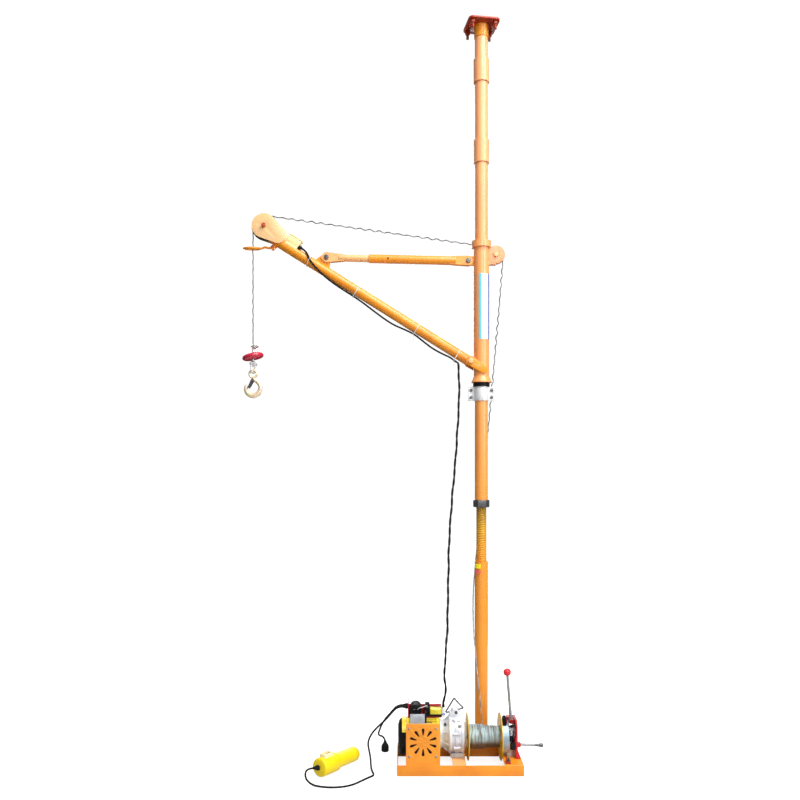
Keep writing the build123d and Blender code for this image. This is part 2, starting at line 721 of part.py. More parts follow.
def boom_head():
    inner = BOOM_R + FIT
    head_at = (HEAD_ALONG, HEAD_RISE)
    hole = cyl(HEAD_H - Vector(0, BOOM_OD, 0), (0, 1, 0), HEAD_AXLE_D / 2 + FIT, 2 * BOOM_OD)
    plates = [
        link(boom_plane(y), CHEEK_T, head_at, CHEEK_R, CHEEK_TAIL, CHEEK_TAIL_R) - hole
        for y in (-inner - CHEEK_T, inner)
    ]
    save("head_cheeks", *plates)
    hub_wide = 2 * (inner - RUN)
    wheel = sheave(
        HEAD_H, HEAD_ROPE_R, HEAD_SHEAVE_WIDE, hub_wide, 0.9 * HEAD_AXLE_D, HEAD_AXLE_D / 2 + RUN
    )
    save("head_sheave", wheel)
    grip = 2 * (inner + CHEEK_T)
    axle = bolt(HEAD_H - Vector(0, grip / 2, 0), (0, 1, 0), HEAD_AXLE_D, grip)
    pin_half = LIMIT_EYE_R * 0.7 + LIMIT_LUG_T + RUN
    limit_pin = bolt(on_boom(*LIMIT_PIVOT, -pin_half), (0, 1, 0), LIMIT_PIN_D, 2 * pin_half)
    stay_grip = STAY_LUG_T + 2 * (STAY_FORK_T + 2 * RUN)
    stay_pin = bolt(STAY_C - Vector(0, stay_grip / 2, 0), (0, 1, 0), STAY_PIN_D, stay_grip)
    save("boom_bolts", axle, limit_pin, stay_pin)


def switch_gland_at(out):
    """A point on the axis of the limit switch's gland."""
    return on_boom(SWITCH_ALONG - SWITCH_BOX[0] / 2 - out, SWITCH_LOW + SWITCH_GLAND[0], SWITCH_GLAND[1])


def limit_gear():
    length, wide, high = SWITCH_BOX
    middle = on_boom(SWITCH_ALONG, SWITCH_LOW + high / 2)
    plane = Plane(origin=middle, x_dir=ALONG, z_dir=(0, 1, 0))
    box = extrude(plane * RectangleRounded(length, high, 4), wide / 2, both=True)
    box -= cyl(on_boom(BOOM_START, 0), ALONG, BOOM_R + FIT, BOOM_END)
    plane = Plane(origin=switch_gland_at(0), z_dir=-ALONG)
    save("limit_switch", box, Solid.make_cone(GLAND_D / 2, CABLE_R + 1, GLAND_L, plane))
    pivot = on_boom(*LIMIT_PIVOT)
    eye_w = 2 * (LIMIT_EYE_R * 0.7 - RUN)
    middle = HEAD_H + Vector(LIMIT_RING_AT[0], 0, LIMIT_RING_AT[1])
    reach = middle + Vector(LIMIT_RING_R, 0, 0)
    lever = cyl(pivot - Vector(0, eye_w / 2, 0), (0, 1, 0), LIMIT_EYE_R, eye_w)
    lever += bar(pivot, reach, LIMIT_BAR_R)
    lever += torus(middle, (0, 0, 1), LIMIT_RING_R, LIMIT_RING_BAR)
    lever -= cyl(pivot - Vector(0, eye_w, 0), (0, 1, 0), LIMIT_PIN_D / 2 + RUN, 2 * eye_w)
    save("limit_lever", whole(lever))


def stay_hole(along, hole_r):
    """A hole across the stay."""
    return cyl(on_stay(along) - Vector(0, STAY_OUTER_OD, 0), (0, 1, 0), hole_r, 2 * STAY_OUTER_OD)


def stay_fork(plane_of, along, toward, tube_r, eye_r, hole_r):
    """The two fork cheeks and the plug that join a stay tube to its pin."""
    cheek_y = STAY_LUG_T / 2 + RUN + 2 * FIT
    neck = along + toward * STAY_FORK_L
    fork = None
    for y in (-cheek_y - STAY_FORK_T, cheek_y):
        cheek = link(plane_of(y), STAY_FORK_T, (along, 0), eye_r, (neck, 0), tube_r - 1)
        fork = cheek if fork is None else fork + cheek
    plug_from = neck - toward * STAY_PLUG_L / 2
    fork += cyl(on_stay(plug_from), STAY_WAY * toward, tube_r, STAY_PLUG_L)
    return fork - stay_hole(along, hole_r)


def stay():
    outer_r = STAY_OUTER_OD / 2
    bore = outer_r - STAY_OUTER_WALL
    start = STAY_FORK_L + STAY_PLUG_L / 2
    outer = ring(on_stay(start), STAY_WAY, outer_r, bore, STAY_OUTER_END - start)
    outer += stay_fork(stay_plane, 0, 1, outer_r, STAY_EYE_R + 1, STAY_PIN_D / 2 + RUN)
    save("stay_outer", whole(outer - stay_hole(STAY_HOLE_ALONG, STAY_HOLE_D / 2)))
    inner_r = STAY_INNER_OD / 2
    inner_from = STAY_OUTER_END - STAY_OVERLAP
    inner_to = STAY_LENGTH - STAY_FORK_L
    tube = ring(on_stay(inner_from), STAY_WAY, inner_r, inner_r - STAY_INNER_WALL, inner_to - inner_from)
    play = STAY_PIN_D / 2 + STAY_HOLE_PLAY
    tube += stay_fork(stay_plane, STAY_LENGTH, -1, inner_r, STAY_EYE_R + 2, play)
    for k in range(STAY_HOLES):
        tube -= stay_hole(STAY_HOLE_ALONG + k * STAY_HOLE_PITCH, STAY_HOLE_D / 2)
    save("stay_inner", whole(tube))


# Hook set
def hook_set():
    down = (0, 0, -1)
    clip = ring((FALL_X, 0, CLIP_TOP - CLIP_H), (0, 0, 1), CLIP_R, STEM_R + RUN, CLIP_H - STEM_R)
    clip += cyl((FALL_X, 0, CLIP_TOP - STEM_R), (0, 0, 1), CLIP_R, STEM_R)
    clip = chamfer(clip.edges().filter_by(GeomType.CIRCLE).group_by(Axis.Z)[-1], 2)
    puck = Cylinder(WEIGHT_OD / 2, WEIGHT_H)
    puck = fillet(puck.edges().filter_by(GeomType.CIRCLE), 0.45 * WEIGHT_H)
    puck -= Cylinder(WEIGHT_BORE / 2, WEIGHT_H)
    save("limit_weight", Pos(FALL_X, 0, WEIGHT_Z) * Rot(0, WEIGHT_TILT, 0) * puck, clip)
    stem_top = CLIP_TOP - STEM_R - RUN
    eye_top = EYE_Z + EYE_R
    stem = cyl((FALL_X, 0, stem_top), down, STEM_R, stem_top - eye_top)
    turn = math.radians(SHACKLE_TURN)
    stem += torus((FALL_X, 0, EYE_Z), (math.cos(turn), math.sin(turn), 0), EYE_R, EYE_BAR)
    save("rope_shackle", whole(stem), shackle())
    hook()


def shackle():
    """The shackle whose pin passes the rope's eye and whose bow passes the hook's eye."""
    pin_z = EYE_Z - (EYE_R - EYE_BAR) + SHACKLE_BAR + RUN
    r = SHACKLE_R
    half = r + SHACKLE_PIN_OVER
    hole_top = HOOK_Z + HOOK_EYE_UP + HOOK_EYE_HOLE
    low = hole_top - SHACKLE_SLACK - SHACKLE_BAR + r
    bow = torus((0, 0, low), (0, 1, 0), r, SHACKLE_BAR)
    wide = 2 * half
    body = bow & block(-wide, wide, -wide, wide, low - wide, low)
    for x in (-r, r):
        body += cyl((x, 0, low), (0, 0, 1), SHACKLE_BAR, pin_z - low)
        body += cyl((x - 1.2 * SHACKLE_BAR, 0, pin_z), (1, 0, 0), 1.6 * SHACKLE_BAR, 2.4 * SHACKLE_BAR)
    body += cyl((-half, 0, pin_z), (1, 0, 0), SHACKLE_BAR, 2 * half)
    body += cyl((half, 0, pin_z), (1, 0, 0), 1.5 * SHACKLE_BAR, SHACKLE_BAR)
    return whole(Pos(FALL_X, 0, 0) * Rot(0, 0, SHACKLE_TURN) * body)


def hook_outline():
    """The hook's side view about the middle of its bowl, its tip to the left."""
    outer = CenterArc((0, 0), HOOK_OUTER_R, HOOK_TIP_ANGLE, HOOK_SWEEP)
    inner = CenterArc((0, HOOK_BOWL_RISE), HOOK_INNER_R, HOOK_TIP_ANGLE + 15, HOOK_SWEEP)
    neck_right = (0.3 * HOOK_EYE_R, HOOK_EYE_UP - 0.9 * HOOK_EYE_R)
    neck_left = (-0.42 * HOOK_EYE_R, HOOK_EYE_UP - 0.88 * HOOK_EYE_R)
    tip = Line(outer @ 0, inner @ 0)
    back = Line(outer @ 1, neck_right)
    top = Line(neck_right, neck_left)
    throat = Line(neck_left, inner @ 1)
    return make_face([tip, outer, back, top, throat, inner])


def hook():
    plane = Plane(origin=(FALL_X, 0, HOOK_Z), x_dir=(1, 0, 0), z_dir=(0, -1, 0))
    body = extrude(hook_outline(), HOOK_T / 2, both=True)
    eye = Pos(0, HOOK_EYE_UP, 0) * Cylinder(HOOK_EYE_R, 0.7 * HOOK_T)
    body += eye
    body -= Pos(0, HOOK_EYE_UP, 0) * Cylinder(HOOK_EYE_HOLE, HOOK_T)
    latch_pin = (-0.1 * HOOK_EYE_R, HOOK_EYE_UP - 1.35 * HOOK_EYE_R)
    body -= Pos(*latch_pin, 0) * Cylinder(LATCH_PIN_D / 2 + RUN, 2 * HOOK_T)
    save("hook", whole(plane * body))
    cheek_y = HOOK_T / 2 + RUN
    tip_at = (-0.8 * HOOK_INNER_R, HOOK_BOWL_RISE + 0.1 * HOOK_INNER_R)
    latch = None
    for z in (-cheek_y - LATCH_T, cheek_y):
        side = link(Plane(origin=(0, 0, z)), LATCH_T, latch_pin, LATCH_WIDE / 2, tip_at, LATCH_WIDE / 3)
        latch = side if latch is None else latch + side
    latch += Pos(*latch_pin, 0) * Cylinder(LATCH_PIN_D / 2, 2 * cheek_y + LATCH_T)
    tongue_at = (tip_at[0] + 1, tip_at[1])
    latch += Pos(*tongue_at, 0) * Cylinder(LATCH_WIDE / 3, 2 * cheek_y + LATCH_T)
    save("hook_latch", whole(plane * latch))


# Drum, brake and levers
def along_x(x, r, length):
    """A round bar on the winch axis."""
    return cyl((x, AXIS_Y, AXIS_Z), (1, 0, 0), r, length)


def drum():
    flange_r = DRUM_FLANGE_OD / 2
    left, right = DRUM_LEFT, DRUM_RIGHT
    t = DRUM_FLANGE_T
    bore = SHAFT_R + RUN
    brake_r = BRAKE_DRUM_OD / 2
    step = winding_lead() + ROPE_R - left
    profile = [
        (0, bore),
        (0, flange_r),
        (t, flange_r),
        (t, DRUM_CORE_R + ROPE_D),
        (step, DRUM_CORE_R + ROPE_D),
        (step, DRUM_CORE_R),
        (right - left - t, DRUM_CORE_R),
        (right - left - t, flange_r),
        (right - left, flange_r),
        (right - left, brake_r),
        (BRAKE_DRUM_END - left, brake_r),
        (BRAKE_DRUM_END - left, bore),
    ]
    body = turned(profile, (left, AXIS_Y, AXIS_Z), (1, 0, 0))
    hub = SHAFT_R + DRUM_BORE_WALL
    hollow = right - left - 4 * t
    body -= ring((left + 2 * t, AXIS_Y, AXIS_Z), (1, 0, 0), DRUM_CORE_R - DRUM_BORE_WALL, hub, hollow)
    save("drum", whole(body))
    save("rope_winding", *winding())


def winding_lead():
    """Where the rope leaves the drum, at the end of the outer layer."""
    return DRUM_LEFT + DRUM_FLANGE_T + 2 * WIND_CLEAR + OUTER_TURNS * WIND_PITCH


def wound(x_from, radius, turns):
    """A rope wound on the drum, which ends at the back of the drum and points up."""
    def at(turn):
        angle = 2 * math.pi * (turn - turns)
        x = x_from + WIND_PITCH * turn
        return Vector(x, AXIS_Y + radius * math.cos(angle), AXIS_Z + radius * math.sin(angle))

    def way(turn):
        angle = 2 * math.pi * (turn - turns)
        rise = 2 * math.pi * radius
        return Vector(WIND_PITCH, -rise * math.sin(angle), rise * math.cos(angle)).normalized()

    edges = [Line(at(0) - way(0) * ROPE_D, at(0)).edge()]
    for quarter in range(4 * turns):
        first, last = quarter / 4, (quarter + 1) / 4
        p0, p1, t0, t1 = at(first), at(last), way(first), way(last)
        across = p1 - p0
        bend = 2 * (1 - t0.dot(t1))
        pull = across.dot(t0 + t1)
        reach = (math.sqrt(pull * pull + bend * across.dot(across)) - pull) / bend
        middle = (p0 + p1 + (t0 - t1) * reach) * 0.5
        edges.append(TangentArc(p0, middle, tangent=t0).edge())
        edges.append(TangentArc(middle, p1, tangent=middle_way(p0, t0, middle)).edge())
    edges.append(Line(at(turns), at(turns) + way(turns) * ROPE_D).edge())
    gaps = least_gap([at(k / 40) for k in range(40 * turns + 1)], 20)
    print("winding of", turns, "turns, least gap to itself", round(gaps - ROPE_D, 2))
    return tube_along(Wire(edges), ROPE_R, "winding")


def middle_way(start, tangent, end):
    """The direction in which an arc that leaves start along tangent reaches end."""
    chord = (end - start).normalized()
    return chord * (2 * chord.dot(tangent)) - tangent


def least_gap(points, apart):
    """The least distance between points of a line that are at least some steps apart."""
    return min(
        (points[i] - points[j]).length
        for i in range(len(points))
        for j in range(i + apart, min(i + 6 * apart, len(points)))
    )


def winding():
    outer_r = DRUM_CORE_R + ROPE_D + ROPE_R + FIT
    under_r = DRUM_CORE_R + ROPE_R + FIT
    lead = winding_lead()
    outer = wound(lead - OUTER_TURNS * WIND_PITCH, outer_r, OUTER_TURNS)
    under_from = lead + ROPE_D + RUN
    room = DRUM_RIGHT - DRUM_FLANGE_T - WIND_CLEAR - under_from
    under = wound(under_from, under_r, math.floor(room / WIND_PITCH))
    return outer, under


def brake_and_levers():
    middle = (AXIS_Y, AXIS_Z)
    top = RAIL + BRACKET_TOP
    face = BRACKET_X + BRACKET_T
    y0, y1 = AXIS_Y - BRACKET_WIDE / 2, AXIS_Y + BRACKET_WIDE / 2
    plate = block(BRACKET_X, face, y0, y1, RAIL, top)
    plate = fillet(plate.edges().filter_by(Axis.X).group_by(Axis.Z)[-1], BRACKET_WIDE / 4)
    plate += block(BRACKET_X, BASE_RIGHT - RAIL_T, y0, y1, RAIL, RAIL + FOOT_T)
    for side in (-1, 1):
        window_at = (BRACKET_X, AXIS_Y + side * BRACKET_WINDOW_Y, AXIS_Z)
        plate -= cyl(window_at, (1, 0, 0), BRACKET_WINDOW_R, BRACKET_T)
    plate -= cyl((BRACKET_X, *middle), (1, 0, 0), SHAFT_R + RUN, BRACKET_T)
    anchor_y = AXIS_Y + BRAKE_DRUM_OD / 2 + BAND_T + BAND_EAR / 2
    band_from = DRUM_RIGHT + (BRAKE_DRUM_END - DRUM_RIGHT - BAND_WIDE) / 2
    arm = BAND_MOUTH + 0.75 * LEVER_PIN_D
    plate += block(BRACKET_X, face, y1 - 1, anchor_y + BAND_EAR / 2, AXIS_Z - arm, AXIS_Z + arm)
    for z in (-BAND_MOUTH, BAND_MOUTH):
        anchor = (band_from, anchor_y, AXIS_Z + z)
        plate += cyl(anchor, (1, 0, 0), LEVER_PIN_D / 2, BRACKET_X - band_from)
    clutch_at = (CLUTCH_PIN[0], AXIS_Y, RAIL + CLUTCH_PIN[1])
    brake_at = (BRAKE_PIN[0], AXIS_Y, RAIL + BRAKE_PIN[1])
    plate += ears(clutch_at, BRACKET_X + 1) + ears(brake_at, face - 1)
    save("end_bracket", whole(plate))
    brake_band(band_from, anchor_y)
    clutch_lever(clutch_at)
    brake_lever(brake_at)


def ears(at, wall_x):
    """Two ears with a pin, which carry a lever beside the end bracket."""
    x, y, z = at
    inner = LEVER_EYE_W / 2 + RUN
    x0, x1 = sorted((x, wall_x))
    found = cyl((x, y - inner - EAR_T, z), (0, 1, 0), LEVER_PIN_D / 2, 2 * (inner + EAR_T))
    for y0 in (y - inner - EAR_T, y + inner):
        ear = cyl((x, y0, z), (0, 1, 0), LEVER_EYE_R - 2, EAR_T)
        found += ear + block(x0, x1, y0, y0 + EAR_T, z - LEVER_EYE_R + 2, z + LEVER_EYE_R - 2)
    return found


def brake_band(band_from, anchor_y):
    inner = BRAKE_DRUM_OD / 2 + RUN
    band = ring((band_from, AXIS_Y, AXIS_Z), (1, 0, 0), inner + BAND_T, inner, BAND_WIDE)
    x1 = band_from + BAND_WIDE
    half = BAND_MOUTH / 2
    back = anchor_y + BAND_EAR / 2
    for side in (-1, 1):
        z0, z1 = sorted((AXIS_Z + side * half, AXIS_Z + side * (half + BAND_EAR)))
        band += block(band_from, x1, AXIS_Y + inner + 0.5, back, z0, z1)
    band -= block(band_from, x1, AXIS_Y, back, AXIS_Z - half, AXIS_Z + half)
    band -= along_x(band_from, inner, BAND_WIDE)
    for z in (-BAND_MOUTH, BAND_MOUTH):
        band -= cyl((band_from, anchor_y, AXIS_Z + z), (1, 0, 0), LEVER_PIN_D / 2 + FIT, BAND_WIDE)
    save("brake_band", band)


def lever_eye(at):
    """The eye of a lever, on its pin."""
    x, y, z = at
    return cyl((x, y - LEVER_EYE_W / 2, z), (0, 1, 0), LEVER_EYE_R, LEVER_EYE_W)


def lever_bore(at):
    """The hole of a lever's eye."""
    x, y, z = at
    return cyl((x, y - LEVER_EYE_W, z), (0, 1, 0), LEVER_PIN_D / 2 + RUN, 2 * LEVER_EYE_W)


def clutch_lever(at):
    lean = math.radians(CLUTCH_LEAN)
    way = Vector(-math.sin(lean), 0, math.cos(lean))
    tip = Vector(*at) + way * CLUTCH_ROD_L
    rod = lever_eye(at) + bar(at, tip, CLUTCH_ROD_D / 2) - lever_bore(at)
    knob = Pos(*(tip + way * (0.35 * KNOB_D))) * Sphere(KNOB_D / 2) - bar(at, tip, CLUTCH_ROD_D / 2)
    save("clutch_lever", whole(rod), knob)


def brake_lever(at):
    tip = Vector(*at) + Vector(BRAKE_ROD_L, 0, 0)
    rod = lever_eye(at) + bar(at, tip, BRAKE_ROD_D / 2) - lever_bore(at)
    grip_r = BRAKE_GRIP_D / 2
    profile = [
        (0, 0),
        (0, 0.7 * grip_r),
        (grip_r, grip_r),
        (BRAKE_GRIP_L - 0.7 * grip_r, grip_r),
        (BRAKE_GRIP_L, 0.6 * grip_r),
        (BRAKE_GRIP_L, 0),
    ]
    grip = turned(profile, tip, (1, 0, 0))
    save("brake_lever", whole(rod + grip))


# Motor and gearbox
def motor():
    motor_r = MOTOR_OD / 2
    bore = motor_r - MOTOR_WALL
    shaft = MOTOR_SHAFT_D / 2
    length = MOTOR_RIGHT - MOTOR_LEFT
    housing = along_x(MOTOR_LEFT, motor_r, length)
    housing -= along_x(MOTOR_LEFT + MOTOR_END_WALL, bore, length - 2 * MOTOR_END_WALL)
    housing -= along_x(MOTOR_LEFT, shaft + RUN, length)
    save("motor_housing", housing)
    core_x = MOTOR_LEFT + (length - STATOR_L) / 2
    stator = along_x(core_x, bore - FIT, STATOR_L) - along_x(core_x, ROTOR_D / 2 + RUN, STATOR_L)
    save("stator", stator)
    fan_x = MOTOR_LEFT - RUN * 10 - FAN_T
    rotor = along_x(core_x, ROTOR_D / 2, STATOR_L)
    rotor += along_x(fan_x - FAN_T / 4, shaft, MOTOR_RIGHT - fan_x + FAN_T / 4)
    rotor += along_x(MOTOR_RIGHT, PINION_SHAFT_D / 2, WHEEL_X - MOTOR_RIGHT + 1)
    rotor += gear(WHEEL_X, GEAR_FACE, PINION_TEETH, AXIS_Z, 90.0)
    rotor += fan(fan_x, shaft)
    save("motor_rotor", whole(rotor))
    cover_r = FAN_COVER_OD / 2
    wall = FAN_COVER_WALL
    cover = along_x(FAN_COVER_LEFT, cover_r, MOTOR_LEFT - FAN_COVER_LEFT)
    cover = chamfer(cover.edges().filter_by(GeomType.CIRCLE).group_by(Axis.X)[0], 1.2 * wall)
    cover -= along_x(FAN_COVER_LEFT + wall, cover_r - wall, MOTOR_LEFT - FAN_COVER_LEFT)
    for k in range(FAN_SLOTS):
        slot = Pos(FAN_COVER_LEFT, FAN_SLOT_AT, 0) * Box(4 * wall, FAN_SLOT_L, FAN_SLOT_W)
        cover -= Pos(0, AXIS_Y, AXIS_Z) * Rot(360 / FAN_SLOTS * k, 0, 0) * slot
    save("fan_cover", cover)
    guard()


def fan(x, shaft):
    """The cooling fan: a disc with blades."""
    hub = shaft + FAN_HUB_WALL
    wheel = along_x(x, FAN_OD / 2, FAN_BLADE_T) + along_x(x, hub, FAN_T)
    reach = FAN_OD / 2 - hub
    for k in range(FAN_BLADES):
        blade = Pos(x + FAN_T / 2, hub + reach / 2 - 1, 0) * Box(FAN_T, reach, FAN_BLADE_T)
        wheel += Pos(0, AXIS_Y, AXIS_Z) * Rot(360 / FAN_BLADES * k, 0, 0) * blade
    return wheel


def guard():
    """The folded sheet cover in front of the motor, with a rose of slots."""
    top = RAIL + GUARD_H
    face = BASE_FRONT + RAIL_T
    front = block(GUARD_LEFT, GUARD_RIGHT, face, face + GUARD_T, RAIL_T, top)
    for x in (GUARD_LEFT, GUARD_RIGHT - GUARD_T):
        front += block(x, x + GUARD_T, face, face + GUARD_DEEP, RAIL, top)
    rose_x = (GUARD_LEFT + GUARD_RIGHT) / 2
    rose_z = RAIL + GUARD_ROSE_UP
    plane = Plane(origin=(rose_x, face, rose_z), x_dir=(1, 0, 0), z_dir=(0, -1, 0))
    for k in range(GUARD_SLOTS):
        circles = [
            Edge.make_circle(GUARD_SLOT_W / 5, Plane(origin=(GUARD_SLOT_IN, 0, 0))),
            Edge.make_circle(GUARD_SLOT_W / 2, Plane(origin=(GUARD_SLOT_OUT - GUARD_SLOT_W / 2, 0, 0))),
        ]
        wedge = plane * Rot(0, 0, 90 + 360 / GUARD_SLOTS * k) * make_hull(circles)
        front -= extrude(wedge, GUARD_T, both=True, dir=plane.z_dir)
    save("motor_guard", whole(front))


def gear(x, face, teeth, z, turn):
    """A spur gear about an axis along X; turn sets where one tooth points."""
    pitch_r = GEAR_MODULE * teeth / 2
    base_r = pitch_r * math.cos(math.radians(GEAR_PRESSURE))
    tip_r = pitch_r + 0.9 * GEAR_MODULE
    root_r = pitch_r - 1.2 * GEAR_MODULE
    inv = math.tan(math.radians(GEAR_PRESSURE)) - math.radians(GEAR_PRESSURE)
    half = math.pi / (2 * teeth) - GEAR_BACKLASH / (2 * pitch_r)

    def flank(r):
        if r <= base_r:
            return half + inv
        roll = math.acos(base_r / r)
        return half + inv - (math.tan(roll) - roll)

    points = []
    start = max(root_r, base_r)
    for k in range(teeth):
        middle = math.radians(turn) + 2 * math.pi * k / teeth
        radii = [root_r, start, (start + tip_r) / 2, tip_r]
        left = [(r, middle - flank(r)) for r in radii]
        right = [(r, middle + flank(r)) for r in reversed(radii)]
        if start == root_r:
            left, right = left[1:], right[:-1]
        points += left + right
    outline = [(r * math.cos(a), r * math.sin(a)) for r, a in points]
    plane = Plane(origin=(x, AXIS_Y, z), x_dir=(0, 1, 0), z_dir=(1, 0, 0))
    return extrude(plane * make_face(Polyline(*outline, close=True)), face, dir=(1, 0, 0))


def gearbox():
    case_r = GEARBOX_OD / 2
    middle_z = AXIS_Z + GEARBOX_RISE
    centre = GEAR_MODULE * (PINION_TEETH + WHEEL_TEETH) / 2
    counter_z = AXIS_Z + centre

    def round_box(x0, x1, r):
        return cyl((x0, AXIS_Y, middle_z), (1, 0, 0), r, x1 - x0)

    cavity = case_r - GEARBOX_WALL
    inside = (GEARBOX_LEFT + GEARBOX_WALL, GEARBOX_RIGHT - GEARBOX_WALL)
    neck_r = NECK_CASE_OD / 2
    case = round_box(GEARBOX_LEFT, GEARBOX_SPLIT, case_r)
    case += along_x(MOTOR_RIGHT, neck_r, GEARBOX_LEFT - MOTOR_RIGHT)
    case -= round_box(inside[0], GEARBOX_SPLIT, cavity)
    case -= along_x(MOTOR_RIGHT, neck_r - GEARBOX_WALL, GEARBOX_LEFT - MOTOR_RIGHT)
    case -= along_x(MOTOR_RIGHT, PINION_SHAFT_D / 2 + RUN, GEARBOX_SPLIT - MOTOR_RIGHT)
    box_l = GEARBOX_RIGHT - GEARBOX_LEFT
    counter_hole = cyl((GEARBOX_LEFT, AXIS_Y, counter_z), (1, 0, 0), COUNTER_D / 2 + RUN, box_l)
    case -= counter_hole
    wire_left = Vector(RING_LEFT[0], AXIS_Y, RING_LEFT[1])
    wire_right = Vector(RING_RIGHT[0], AXIS_Y, RING_RIGHT[1])
    wire_way = (wire_right - wire_left).normalized()
    middle = (wire_left + wire_right) * 0.5
    ends = [middle - wire_way * (RING_LUG / 2), middle + wire_way * (RING_LUG / 2)]
    plane = side_plane(AXIS_Y - RING_LUG_T / 2)
    tops = [(-end.X, end.Z) for end in ends]
    root = (-middle.X, middle_z + case_r - RING_LUG_R)
    for first, second in ((tops[0], root), (tops[1], root), tops):
        case += link(plane, RING_LUG_T, first, RING_LUG_R, second, RING_LUG_R)
    case -= round_box(inside[0], GEARBOX_SPLIT, cavity)
    case -= cyl(wire_left, wire_way, RING_WIRE + RUN, (wire_right - wire_left).length)
    save("gearbox_case", whole(case))
    cover = round_box(GEARBOX_SPLIT, GEARBOX_RIGHT, case_r)
    cover -= round_box(GEARBOX_SPLIT, inside[1], cavity)
    cover -= along_x(GEARBOX_SPLIT, SHAFT_R + RUN, GEARBOX_RIGHT - GEARBOX_SPLIT)
    save("gearbox_cover", whole(cover - counter_hole))
    wheel_gap = 180.0 / WHEEL_TEETH
    counter = cyl((GEARBOX_LEFT + 1, AXIS_Y, counter_z), (1, 0, 0), COUNTER_D / 2, box_l - 2)
    counter += gear(WHEEL_X, GEAR_FACE, WHEEL_TEETH, counter_z, 270.0 + wheel_gap)
    counter += gear(OUTPUT_X, GEAR_FACE, PINION_TEETH, counter_z, 270.0)
    save("counter_gear", whole(counter))
    shaft_end = BRACKET_X + BRACKET_T + SHAFT_STUB
    output = along_x(OUTPUT_X, SHAFT_R, shaft_end - OUTPUT_X)
    output += gear(OUTPUT_X, GEAR_FACE, WHEEL_TEETH, AXIS_Z, 90.0 + wheel_gap)
    save("drum_shaft", whole(output))
    lifting_ring()


def pedestal():
    """The bracket across the rails that carries the gearbox."""
    case_r = GEARBOX_OD / 2
    middle_z = AXIS_Z + GEARBOX_RISE
    between = (BASE_FRONT + RAIL_T, REAR_RAIL_FRONT)
    foot = block(PEDESTAL_LEFT, PEDESTAL_RIGHT, *between, RAIL - PEDESTAL_T, RAIL)
    half = PEDESTAL_SADDLE / 2
    saddle = block(PEDESTAL_LEFT, PEDESTAL_RIGHT, AXIS_Y - half, AXIS_Y + half, RAIL, middle_z - case_r / 2)
    saddle -= cyl((PEDESTAL_LEFT, AXIS_Y, middle_z), (1, 0, 0), case_r, PEDESTAL_RIGHT - PEDESTAL_LEFT)
    return whole(foot + saddle)


def lifting_ring():
    """The triangular wire ring on top of the gearbox, with rounded corners."""
    points = [RING_LEFT, RING_APEX, RING_RIGHT]
    corners = [Vector(x, AXIS_Y, z) for x, z in points]
    path = FilletPolyline(*corners, radius=2 * RING_WIRE, close=True)
    section = Plane(origin=path @ 0, z_dir=path % 0) * Circle(RING_WIRE)
    save("lifting_ring", whole(sweep(section, path=path)))


# Electric gear on the motor
def electrics():
    floor = AXIS_Z + MOTOR_OD / 2
    tray = block(TRAY_LEFT, TRAY_RIGHT, TRAY_FRONT, TRAY_BACK, floor, floor + TRAY_T)
    tray += block(TRAY_LEFT, TRAY_RIGHT, TRAY_BACK - TRAY_T, TRAY_BACK, floor, floor + TRAY_BACK_H)
    tray += block(TRAY_LEFT, TRAY_LEFT + TRAY_T, TRAY_FRONT, TRAY_BACK, floor, floor + TRAY_SIDE_H)
    save("control_tray", tray)
    shelf = floor + TRAY_T
    back = TRAY_BACK - TRAY_T
    terminal_x = CAPACITOR_X - TERMINAL[0] / 2
    terminal_top = shelf + TERMINAL[2]
    terminal = block(terminal_x, terminal_x + TERMINAL[0], back - TERMINAL[1], back, shelf, terminal_top)
    capacitor_r = CAPACITOR_D / 2
    can_at = (CAPACITOR_X, back - CAPACITOR_L, terminal_top + capacitor_r)
    can = cyl(can_at, (0, 1, 0), capacitor_r, CAPACITOR_L)
    can = chamfer(can.edges().filter_by(GeomType.CIRCLE).group_by(Axis.Y)[0], 3)
    right = TRAY_RIGHT - FIT
    relay_x = (right - RELAY[0], right)
    relay_y = (back - RELAY[1], back)
    relay_low = shelf + RELAY_BASE
    relay = block(*relay_x, *relay_y, relay_low, relay_low + RELAY[2])
    relay_foot = block(*relay_x, *relay_y, shelf, relay_low)
    contactor_x = (relay_x[0] - FIT - CONTACTOR[0], relay_x[0] - FIT)
    contactor = block(*contactor_x, back - CONTACTOR[1], back, shelf, shelf + CONTACTOR[2])
    save("switchgear", can, terminal, contactor, relay, relay_foot)


# Pendant on the floor
PENDANT_START = Vector(*PENDANT_FROM, 0)
PENDANT_WAY = (Vector(*PENDANT_TO, 0) - PENDANT_START).normalized()
PENDANT_L = (Vector(*PENDANT_TO, 0) - PENDANT_START).length
PENDANT_TILT = math.atan((PENDANT_HEAD_R - PENDANT_GRIP_R) / (PENDANT_L - PENDANT_HEAD_L))


def pendant_place():
    """The place of the pendant's own frame, whose X axis runs from its gland to its tail."""
    heading = math.degrees(math.atan2(PENDANT_WAY.Y, PENDANT_WAY.X))
    lift = PENDANT_HEAD_R * math.cos(PENDANT_TILT) + PENDANT_HEAD_L * math.sin(PENDANT_TILT)
    tilted = Rot(0, 0, heading) * Rot(0, math.degrees(PENDANT_TILT), 0)
    return Pos(PENDANT_START.X, PENDANT_START.Y, lift) * tilted


